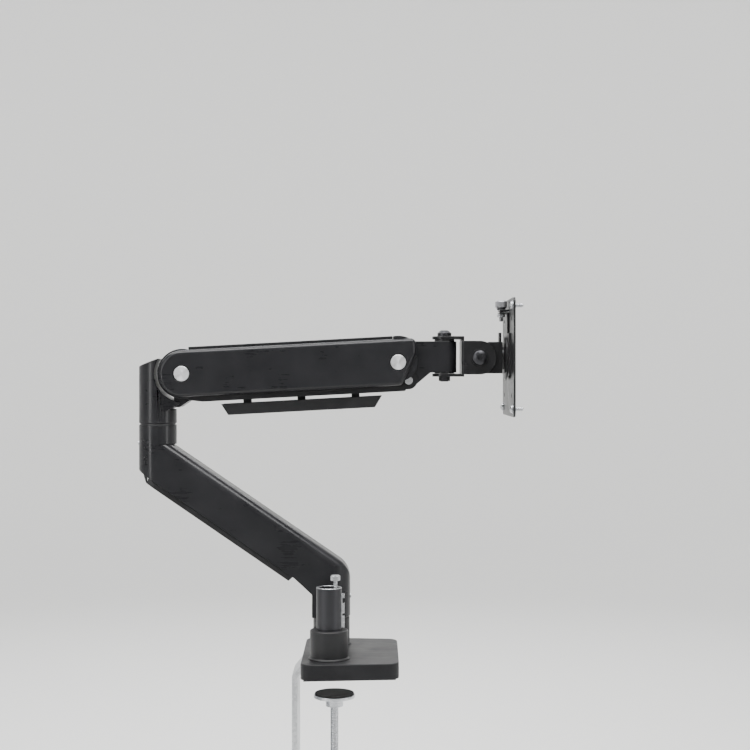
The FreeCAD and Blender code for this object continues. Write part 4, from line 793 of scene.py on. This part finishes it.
class Patterns:
    """The repeated shapes of the arm, each tree built once."""

    @staticmethod
    @cache
    def thread() -> Pattern:
        """A screw thread: a ridge wound round the axis.

        Returns:
            The pattern, which takes Radius, Length, Pitch and Ridge.
        """
        pattern = Pattern("screw_thread", dict.fromkeys(("Radius", "Length", "Pitch", "Ridge"), NUMBER))
        w, given = pattern.wiring, pattern.given
        spiral = w.add("GeometryNodeCurveSpiral", {
            "Resolution": 28, "Rotations": w.math("DIVIDE", given["Length"], given["Pitch"]),
            "Start Radius": given["Radius"], "End Radius": given["Radius"], "Height": given["Length"]})
        ridge = w.add("GeometryNodeCurvePrimitiveCircle", {"Resolution": 6, "Radius": given["Ridge"]})
        solid = w.add("GeometryNodeCurveToMesh", {"Curve": spiral.outputs[0],
                                                  "Profile Curve": ridge.outputs[0], "Fill Caps": True})
        return pattern.close(solid.outputs[0])

    @staticmethod
    @cache
    def ribs() -> Pattern:
        """Grip ribs standing round a cylinder.

        Returns:
            The pattern, which takes Radius, Height, Width and Count.
        """
        pattern = Pattern("grip_ribs", {**dict.fromkeys(("Radius", "Height", "Width"), NUMBER),
                                        "Count": "NodeSocketInt"})
        w, given = pattern.wiring, pattern.given
        ring = w.add("GeometryNodeMeshCircle", {"Vertices": given["Count"], "Radius": given["Radius"]})
        rib = w.add("GeometryNodeMeshCylinder", {"Vertices": 8, "Side Segments": 1, "Radius": given["Width"],
                                                 "Depth": given["Height"]})
        stand = w.add("GeometryNodeInstanceOnPoints", {"Points": ring.outputs[0],
                                                       "Instance": rib.outputs["Mesh"]})
        return pattern.close(stand.outputs[0])

    @staticmethod
    @cache
    def corners() -> Pattern:
        """One piece repeated at the corners of a rectangle across X.

        Returns:
            The pattern, which takes Spacing Y, Spacing Z and Piece.
        """
        pattern = Pattern("corner_pieces", {"Spacing Y": NUMBER, "Spacing Z": NUMBER,
                                            "Piece": "NodeSocketObject"})
        w, given = pattern.wiring, pattern.given
        grid = w.add("GeometryNodeMeshGrid", {"Size X": given["Spacing Z"], "Size Y": given["Spacing Y"],
                                              "Vertices X": 2, "Vertices Y": 2})
        upright = w.add("GeometryNodeTransform", {"Geometry": grid.outputs[0],
                                                  "Rotation": (0.0, math.pi / 2, 0.0)})
        piece = w.add("GeometryNodeObjectInfo", {"Object": given["Piece"]})
        stand = w.add("GeometryNodeInstanceOnPoints", {"Points": upright.outputs[0],
                                                       "Instance": piece.outputs["Geometry"]})
        return pattern.close(stand.outputs[0])


# ---------------------------------------------------------------- sub-assemblies


@dataclass(frozen=True)
class Dressing:
    """How one CAD piece is finished.

    Attributes:
        node: The CAD piece.
        finish: Its finish.
        edge: Rounding of its edges in millimetres.
        segments: Steps in that rounding.
    """

    node: str
    finish: Finish
    edge: float = 0.3
    segments: int = 2


BODY_OF = {node: body for body, nodes in frame["record"]["behaviour"]["bodies"].items() for node in nodes}


@dataclass
class SubAssembly:
    """Pieces that are dressed together."""

    title: str = "pieces"
    pieces: tuple[Dressing, ...] = ()

    def build(self) -> None:
        """Dress every piece of the sub-assembly."""
        for dressing in self.pieces:
            self.dress(dressing)

    def dress(self, dressing: Dressing, cutters: Iterable[Piece] = (),
              bends: Sequence[tuple[float, EdgeTest]] = ()) -> Piece:
        """Copy a CAD piece, cut and round it, and put it in the CAD piece's stead.

        Args:
            dressing: The piece and its finish.
            cutters: Shapes to cut out of it.
            bends: Radius and edge test of each bend.

        Returns:
            The finished piece.
        """
        piece = Workshop.cad_copy(dressing.node, f"{dressing.node}_skin")
        for radius, wanted in bends:
            Workshop.bend(piece, radius, wanted)
        Workshop.cut(piece, cutters)
        Workshop.soften(piece, dressing.edge, dressing.segments)
        return self.fit(piece, dressing.finish, BODY_OF[dressing.node], dressing.node)

    def fit(self, piece: Piece, finish: Finish, body: str, *stands_for: str) -> Piece:
        """Give a piece its finish and its place in the moving frame.

        Args:
            piece: The piece.
            finish: Its finish.
            body: The body that it moves with.
            stands_for: CAD pieces that it replaces.

        Returns:
            The piece.
        """
        piece.data.materials.clear()
        piece.data.materials.append(finish.material())
        if stands_for:
            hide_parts(*stands_for)
        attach(piece, body)
        LOG.info("%s: %s, %d faces, on %s", self.title, piece.name, len(piece.data.polygons), body)
        return piece


@dataclass
class Base(SubAssembly):
    """Base plate with both posts, their collars and the clamp bracket."""

    title: str = "base"
    pieces: tuple[Dressing, ...] = (
        Dressing("base_plate", BASE_PAINT, 0.25),
        Dressing("base_pad", RUBBER, 0.1, 1),
        Dressing("clamp_bracket", ZINC, 0.5, 3),
        Dressing("arm_post", BRIGHT_STEEL, 0.3),
        Dressing("spare_post", BLACK_OXIDE, 0.3),
        Dressing("lock_strip", BRIGHT_STEEL, 0.15),
        Dressing("arm_post_collar", BLACK_PLASTIC, 0.35, 3),
        Dressing("spare_post_collar", BLACK_PLASTIC, 0.35, 3),
        Dressing("swivel_washer", ACETAL, 0.1, 1),
        Dressing("clamp_nut", BRIGHT_STEEL, 0.4),
    )
    post_screw_height: float = 1.3
    bracket_screws: tuple[Point, ...] = ((-12, -14), (-12, 14), (18, 0))
    rim: tuple[Point, ...] = ((9.45, -0.5), (12.04, -0.5), (12.04, -0.15), (11.85, 0.03), (9.65, 0.03),
                              (9.45, -0.15))

    def build(self) -> None:
        """Dress the base, cut the sockets of the screws under it and turn the spare post's bare rim."""
        super().build()
        below = Extent.of("base_screws").low.z
        cutters = [Workshop.hex_socket(5, 2.2, towards(DOWN, 0, y, self.post_screw_height))
                   for y in (-ARM_Y, ARM_Y)]
        cutters += [Workshop.hex_socket(3.6, 1.4, towards(DOWN, x, y, below)) for x, y in self.bracket_screws]
        self.dress(Dressing("base_screws", BLACK_OXIDE, 0.2), cutters)
        post = Extent.of("spare_post")
        rim = Workshop.lathe("spare_post_rim", self.rim, post.upright(post.high.z))
        self.fit(Workshop.soften(rim, 0), BRIGHT_STEEL, "base")


@dataclass
class LockBolt(SubAssembly):
    """Bolt that stands in the spare post."""

    title: str = "lock bolt"
    across: float = 8.0
    head_height: float = 5.0
    core: float = 1.72
    pitch: float = 0.7

    def build(self) -> None:
        """A chamfered hexagon head over a threaded shank."""
        bolt = Extent.of("lock_bolt")
        foot, top = bolt.low.z, bolt.high.z
        seat, at, core = top - self.head_height, bolt.upright(), self.core
        head = Workshop.hexagon("head", self.across, seat, top, at)
        cone = Workshop.lathe("cone", [(0, seat - 1), (4.0, seat - 1), (4.8, seat + 0.4), (4.8, top - 0.8),
                                       (3.8, top), (0, top)], at)
        Workshop.soften(Workshop.cut(head, [cone], "INTERSECT"), 0.15)
        shank = Workshop.lathe("shank", [(0, foot), (core - 0.4, foot), (core, foot + 0.6),
                                         (core, seat + 0.2), (0, seat + 0.2)], at, 32)
        thread = Patterns.thread().make("winding", bolt.upright(foot + 0.8), BRIGHT_STEEL, Radius=core,
                                        Length=seat - foot - 1.6, Pitch=self.pitch, Ridge=0.26)
        piece = Workshop.join("lock_bolt_turned", [head, Workshop.soften(shank, 0), thread])
        self.fit(piece, BRIGHT_STEEL, "lock_bolt", "lock_bolt")


@dataclass
class DeskClamp(SubAssembly):
    """Pressure disc, screw and hand knob under the desk."""

    title: str = "desk clamp"
    pieces: tuple[Dressing, ...] = (
        Dressing("clamp_pad", BRIGHT_STEEL, 0.4, 3),
        Dressing("clamp_pad_face", RUBBER, 0.35, 3),
        Dressing("clamp_knob", KNOB_PLASTIC, 1.6, 5),
    )
    core: float = 3.6
    pitch: float = 1.25
    plain_foot: float = 15.0

    def build(self) -> None:
        """Dress the disc and the knob, and wind a thread on the screw."""
        super().build()
        screw, core = Extent.of("clamp_screw"), self.core
        low, high = screw.low.z, screw.high.z
        shaft = Workshop.lathe("shaft", [(0, low), (core, low), (core, high - 1), (core - 1, high), (0, high)],
                               screw.upright(), 48)
        start = low + self.plain_foot
        thread = Patterns.thread().make("winding", screw.upright(start), BRIGHT_STEEL, Radius=core - 0.02,
                                        Length=high - 2 - start, Pitch=self.pitch, Ridge=0.42)
        piece = Workshop.join("clamp_screw_threaded", [Workshop.soften(shaft, 0), thread])
        self.fit(piece, BRIGHT_STEEL, "clamp_screw", "clamp_screw")


@dataclass
class LowerArm(SubAssembly):
    """Hollow lower arm with its cable cover, bushes and set screws."""

    title: str = "lower arm"
    pieces: tuple[Dressing, ...] = (
        Dressing("lower_arm_beam", ARM_PAINT, 0.5, 3),
        Dressing("lower_cable_cover", BLACK_PLASTIC, 0.6, 3),
        Dressing("swivel_bush", ACETAL, 0.1, 1),
        Dressing("elbow_bush", ACETAL, 0.1, 1),
        Dressing("elbow_thrust_washer", ACETAL, 0.15, 2),
    )

    def build(self) -> None:
        """Dress the arm and cut the sockets of its two set screws."""
        super().build()
        screws = Extent.of("set_screws")
        low, high = screws.low, screws.high
        cutters = [Workshop.hex_socket(2.2, 1.6, towards(FORWARD, high.x, ARM_Y, low.z + 2)),
                   Workshop.hex_socket(2.2, 1.6, towards(BACK, low.x, ARM_Y, high.z - 2))]
        self.dress(Dressing("set_screws", BRIGHT_STEEL, 0.15), cutters)


@dataclass
class Elbow(SubAssembly):
    """Knuckle that turns on the lower arm and carries the upper arm's pivots."""

    title: str = "elbow"
    pieces: tuple[Dressing, ...] = (
        Dressing("elbow_knuckle", ARM_PAINT, 0.7, 3),
        Dressing("elbow_shaft", BRIGHT_STEEL, 0.2, 1),
        Dressing("link_rear_pins", BRIGHT_STEEL, 0.3),
        Dressing("spring_anchor_pin", BRIGHT_STEEL, 0.2, 1),
    )

    def build(self) -> None:
        """Dress the knuckle and cut the socket of the bolt below it."""
        super().build()
        bolt = Extent.of("elbow_bolt")
        self.dress(Dressing("elbow_bolt", BLACK_OXIDE, 0.25),
                   [Workshop.hex_socket(5, 3, towards(DOWN, bolt.centre.x, bolt.centre.y, bolt.low.z))])


@dataclass
class UpperArm(SubAssembly):
    """Frame with side covers, top cover, pivot pins and discs, and the gas spring inside."""

    title: str = "upper arm"
    pieces: tuple[Dressing, ...] = (
        Dressing("upper_arm_frame", ARM_PAINT, 0.4, 2),
        Dressing("near_side_cover", ARM_PAINT, 0.35, 2),
        Dressing("far_side_cover", ARM_PAINT, 0.35, 2),
        Dressing("top_cover", ARM_PAINT, 0.7, 3),
        Dressing("rear_pivot_pin", BRIGHT_STEEL, 0.2, 1),
        Dressing("front_pivot_pin", BRIGHT_STEEL, 0.2, 1),
        Dressing("pivot_spacers", ACETAL, 0.2, 1),
        Dressing("gas_spring_cylinder", STRUT_GLOSS, 0.2, 2),
        Dressing("gas_spring_rod", POLISHED, 0.0),
        Dressing("gas_spring_eye", BRIGHT_STEEL, 0.0),
    )
    disc_radius: float = 7.5
    disc_dish: float = 0.12
    disc_depth: float = 1.4

    def build(self) -> None:
        """Dress the arm and turn its four pivot discs."""
        super().build()
        faces = Extent.of("pivot_discs")
        discs = []
        for pin in ("rear_pivot_pin", "front_pivot_pin"):
            centre = Extent.of(pin).centre
            for direction, face in ((NEAR, faces.low.y), (FAR, faces.high.y)):
                discs.append(self.disc(towards(direction, centre.x, face, centre.z)))
        self.fit(Workshop.join("pivot_discs_spun", discs), SPUN_SILVER, "upper_arm", "pivot_discs")

    def disc(self, place: Matrix) -> Piece:
        """One dished disc with a turned face.

        Args:
            place: Where the middle of its outer face goes.

        Returns:
            The disc.
        """
        radius, dish, depth = self.disc_radius, self.disc_dish, self.disc_depth
        face = [(0.0, -dish)] + [(radius * 0.12 * k, -dish + 0.013 * k) for k in range(1, 7)]
        side = [(radius - 1.2, -0.02), (radius - 0.5, 0), (radius, -0.45), (radius, -depth), (0, -depth)]
        return Workshop.soften(Workshop.lathe("disc", face + Workshop.rounded(side, 0.25), place, 96), 0)


@dataclass
class Link(SubAssembly):
    """Lower link with the cable tray under it."""

    title: str = "link and tray"
    pieces: tuple[Dressing, ...] = (
        Dressing("lower_link", BRACKET_PAINT, 0.35, 2),
        Dressing("cable_tray", BLACK_PLASTIC, 0.55, 3),
    )


@dataclass
class Head(SubAssembly):
    """Head link and the wrist bracket that pans on it."""

    title: str = "head and wrist"
    pieces: tuple[Dressing, ...] = (
        Dressing("head_link", ARM_PAINT, 0.5, 3),
        Dressing("link_front_pin", BRIGHT_STEEL, 0.5, 3),
        Dressing("wrist_washers", ACETAL, 0.15, 1),
        Dressing("wrist_nut", BLACK_OXIDE, 0.3),
        Dressing("tilt_washers", BRACKET_PAINT, 0.25, 2),
        Dressing("tilt_nut", BLACK_OXIDE, 0.3),
    )
    web_reach: float = 16.1
    web_half: float = 20.0
    bend_radius: float = 2.4

    def build(self) -> None:
        """Dress the pieces, bend the bracket and cut the bolts' recesses."""
        super().build()
        wrist, tilt = Extent.of("wrist_bolt"), Extent.of("tilt_bolt")
        self.bracket(wrist.centre.x + self.web_reach)
        self.dress(Dressing("wrist_bolt", BLACK_OXIDE, 0.35, 3),
                   [Workshop.cross_recess(2.6, 1.2, 2.2, wrist.upright(wrist.high.z))])
        self.dress(Dressing("tilt_bolt", BLACK_OXIDE, 0.35, 3),
                   [Workshop.hex_socket(5, 2.4, towards(NEAR, tilt.centre.x, tilt.low.y, tilt.centre.z))])

    def bracket(self, web: float) -> None:
        """Dress the wrist bracket with rounded outer bends.

        Args:
            web: X of the web's outer face.
        """
        def upright_bend(first: Vector, second: Vector) -> bool:
            """Whether an edge is one of the two upright outer edges of the web."""
            straight = abs(first.x - second.x) < 0.01 and abs(first.y - second.y) < 0.01
            return straight and abs(first.x - web) < 0.05 and abs(abs(first.y - ARM_Y) - self.web_half) < 0.05

        self.dress(Dressing("wrist_bracket", BRACKET_PAINT, 0.4, 2), bends=[(self.bend_radius, upright_bend)])


@dataclass
class TiltHead(SubAssembly):
    """Tilt bracket with the bearing and the disc that turns on it."""

    title: str = "tilt head"
    pieces: tuple[Dressing, ...] = (
        Dressing("tilt_bracket", BRACKET_PAINT, 0.4, 2),
        Dressing("head_bearing", ACETAL, 0.25, 2),
        Dressing("rotation_bolt", BLACK_OXIDE, 0.3, 2),
        Dressing("rotation_disc", BRACKET_PAINT, 0.3, 3),
        Dressing("quick_release_plate", BRACKET_PAINT, 0.35, 2),
        Dressing("thumb_nut", BRIGHT_STEEL, 0.3),
    )
    rivet_spacing: float = 22.6

    def build(self) -> None:
        """Dress the head and set the rivets of its disc."""
        super().build()
        rivets = Extent.of("disc_rivets")
        long, apart = rivets.high.x - rivets.low.x, self.rivet_spacing
        rivet = Workshop.lathe("rivet", [(0, 0), (2, 0), (2, long - 0.3), (1.6, long), (0, long)],
                               towards(FORWARD, 0, 0, 0), 32)
        Workshop.soften(rivet, 0)
        piece = Patterns.corners().make("disc_rivets_set", rivets.front(), BLACK_OXIDE, Spacing_Y=apart,
                                        Spacing_Z=apart, Piece=rivet)
        bpy.data.objects.remove(rivet)
        self.fit(piece, BLACK_OXIDE, "rotor", "disc_rivets")


@dataclass
class ScreenMount(SubAssembly):
    """Screen plate with its four screws and the thumbscrew that locks it."""

    title: str = "screen mount"
    pieces: tuple[Dressing, ...] = (
        Dressing("screen_plate", BRACKET_PAINT, 0.35, 2),
        Dressing("thumb_washer", ACETAL, 0.2, 2),
    )
    spacing: float = 100.0
    core: float = 1.74
    pitch: float = 0.7
    ridge: float = 0.25
    thumb_head: float = 7.9

    def build(self) -> None:
        """Dress the plate, repeat the screw at its corners and knurl the thumbscrew."""
        super().build()
        self.screws()
        self.thumbscrew()

    def screws(self) -> None:
        """Cross-head screws with washers and threaded ends at the plate's corners."""
        place, core, back, seat = Extent.of("screen_screws"), self.core, towards(BACK, 0, 0, 0), -3.2
        reach = place.high.x - place.low.x
        head = Workshop.lathe("head", Workshop.rounded([(0, 0), (1.6, 0), (4, -1.4), (4, -2.6), (0, -2.6)], 1.0),
                              back, 48)
        Workshop.soften(Workshop.cut(head, [Workshop.cross_recess(1.9, 0.9, 1.6, back)]), 0.1)
        washer = Workshop.lathe("washer", [(2.1, -2.6), (4.6, -2.6), (4.6, seat), (2.1, seat)], back, 48)
        shank = Workshop.lathe("shank", [(0, seat + 1), (core, seat + 1), (core, 0.5 - reach),
                                         (core - 0.4, -reach), (0, -reach)], back, 24)
        thread = Patterns.thread().make("winding", towards(FORWARD, 5.4, 0, 0), BRIGHT_STEEL, Radius=core,
                                        Length=reach - 6.4, Pitch=self.pitch, Ridge=self.ridge)
        screw = Workshop.join("screw", [head, Workshop.soften(washer, 0.12), Workshop.soften(shank, 0), thread])
        screws = Patterns.corners().make("screen_screws_set", place.front(), BRIGHT_STEEL,
                                         Spacing_Y=self.spacing, Spacing_Z=self.spacing, Piece=screw)
        bpy.data.objects.remove(screw)
        self.fit(screws, BRIGHT_STEEL, "screen_mount", "screen_screws")

    def thumbscrew(self) -> None:
        """Ribbed head, plain neck and threaded shank."""
        place, core = Extent.of("thumb_screw"), self.core
        low, high = place.low.z, place.high.z
        seat, at = high - self.thumb_head, place.upright()
        rim = [(4.6, seat), (5.2, seat + 0.7), (5.6, seat + 1.2), (5.6, high - 1.1), (4.7, high), (2.6, high),
               (2.2, high - 0.5)]
        head = Workshop.lathe("head", [(0, seat), *Workshop.rounded(rim, 0.3), (0, high - 0.5)], at)
        ribs = Patterns.ribs().make("ribs", place.upright((seat + high) / 2 + 0.1), GREY_KNURL, Radius=5.55,
                                    Height=high - seat - 2.6, Width=0.42, Count=36)
        shank = Workshop.lathe("shank", [(0, low), (core - 0.4, low), (core, low + 0.5), (core, seat + 0.2),
                                         (0, seat + 0.2)], at, 32)
        thread = Patterns.thread().make("winding", place.upright(low + 0.7), GREY_KNURL, Radius=core,
                                        Length=seat - low - 1.4, Pitch=self.pitch, Ridge=self.ridge)
        piece = Workshop.join("thumb_screw_knurled", [Workshop.soften(head, 0), ribs,
                                                      Workshop.soften(shank, 0), thread])
        self.fit(piece, GREY_KNURL, "thumb_screw", "thumb_screw")


# ---------------------------------------------------------------- studio


@dataclass(frozen=True)
class Lamp:
    """A soft rectangular lamp.

    Attributes:
        name: Its name.
        place: Where it hangs, in millimetres.
        aim: The point it faces.
        size: Its width and height in millimetres.
        power: Its power in watts.
    """

    name: str
    place: tuple[float, float, float]
    aim: tuple[float, float, float]
    size: tuple[float, float]
    power: float

    def hang(self) -> None:
        """Add the lamp to the scene."""
        data = bpy.data.lights.new(self.name, "AREA")
        data.shape = "RECTANGLE"
        data.size, data.size_y = self.size[0] * MM, self.size[1] * MM
        data.energy = self.power
        lamp = bpy.data.objects.new(self.name, data)
        bpy.context.scene.collection.objects.link(lamp)
        lamp.location = Vector(self.place) * MM
        lamp.rotation_euler = (Vector(self.aim) - Vector(self.place)).to_track_quat("-Z", "Y").to_euler()


@dataclass
class Studio:
    """Pale floor and backdrop, soft lights and the camera."""

    floor_drop: float = 56.0
    room: float = 2600.0
    sweep_radius: float = 900.0
    wall: float = 2300.0
    paper: tuple[Colour, Colour] = ((0.72, 0.72, 0.71), (0.77, 0.77, 0.76))
    sky: Colour = (0.8, 0.82, 0.85)
    sky_strength: float = 0.22
    eye: tuple[float, float, float] = (43.5, -1363.0, 284.0)
    lens: float = 67.2
    lamps: tuple[Lamp, ...] = (
        Lamp("overhead", (0, -330, 1250), (0, 60, 200), (1500, 420), 30),
        Lamp("left_strip", (-950, -900, 520), (0, 0, 150), (160, 1100), 7),
        Lamp("right_strip", (1000, -500, 420), (100, 40, 200), (160, 800), 4),
        Lamp("back", (-100, 900, 1000), (0, 40, 200), (1400, 300), 9),
        Lamp("backdrop", (0, 300, 1900), (0, 2400, 500), (3000, 600), 60),
        Lamp("front_wall", (0, -500, 2000), (0, -2600, 400), (3000, 500), 5),
    )

    def build(self) -> None:
        """Set the stage, the lights and the camera."""
        self.sweep()
        for lamp in self.lamps:
            lamp.hang()
        self.surroundings()
        self.camera()

    def sweep(self) -> None:
        """A round floor that curves up into a wall on every side."""
        floor = CAD_BOX[0][2] / MM - self.floor_drop
        curve = self.sweep_radius
        flat = self.room - curve
        bend = [(flat + curve * math.sin(turn), floor + curve * (1 - math.cos(turn)))
                for turn in (math.radians(10 * k) for k in range(1, 10))]
        outline = [(0.0, floor), (flat, floor), *bend, (self.room, floor + self.wall)]
        room = Workshop.lathe("studio_floor", outline, Matrix.Identity(4), 96, shell=True)
        for face in room.data.polygons:
            face.use_smooth = True
        material = bpy.data.materials.new("pale_paper")
        material.use_nodes = True
        w = Wiring(material.node_tree)
        shader = material.node_tree.nodes["Principled BSDF"].inputs
        fibre = w.noise(w.place(), 260.0, 4.0)
        w.feed(shader["Base Color"], w.blend(fibre, (*self.paper[0], 1), (*self.paper[1], 1)))
        shader["Roughness"].default_value = 0.85
        room.data.materials.append(material)

    def surroundings(self) -> None:
        """An even grey sky round the set."""
        world = bpy.data.worlds.new("studio")
        world.use_nodes = True
        sky = world.node_tree.nodes["Background"].inputs
        sky[0].default_value = (*self.sky, 1)
        sky[1].default_value = self.sky_strength
        bpy.context.scene.world = world

    def camera(self) -> None:
        """Level camera looking straight across the arm's plane."""
        data = bpy.data.cameras.new("camera")
        data.lens, data.sensor_width, data.clip_end = self.lens, 36, 50
        camera = bpy.data.objects.new("camera", data)
        bpy.context.scene.collection.objects.link(camera)
        camera.location = Vector(self.eye) * MM
        camera.rotation_euler = (math.pi / 2, 0, 0)
        bpy.context.scene.camera = camera


def main() -> None:
    """Build every sub-assembly in order, then the studio."""
    logging.basicConfig(level=logging.INFO, format="%(name)s: %(message)s")
    for part in (Base(), LockBolt(), DeskClamp(), LowerArm(), Elbow(), UpperArm(), Link(), Head(),
                 TiltHead(), ScreenMount()):
        part.build()
        LOG.info("%s finished", part.title)
    Studio().build()


if __name__ == "__main__":
    main()
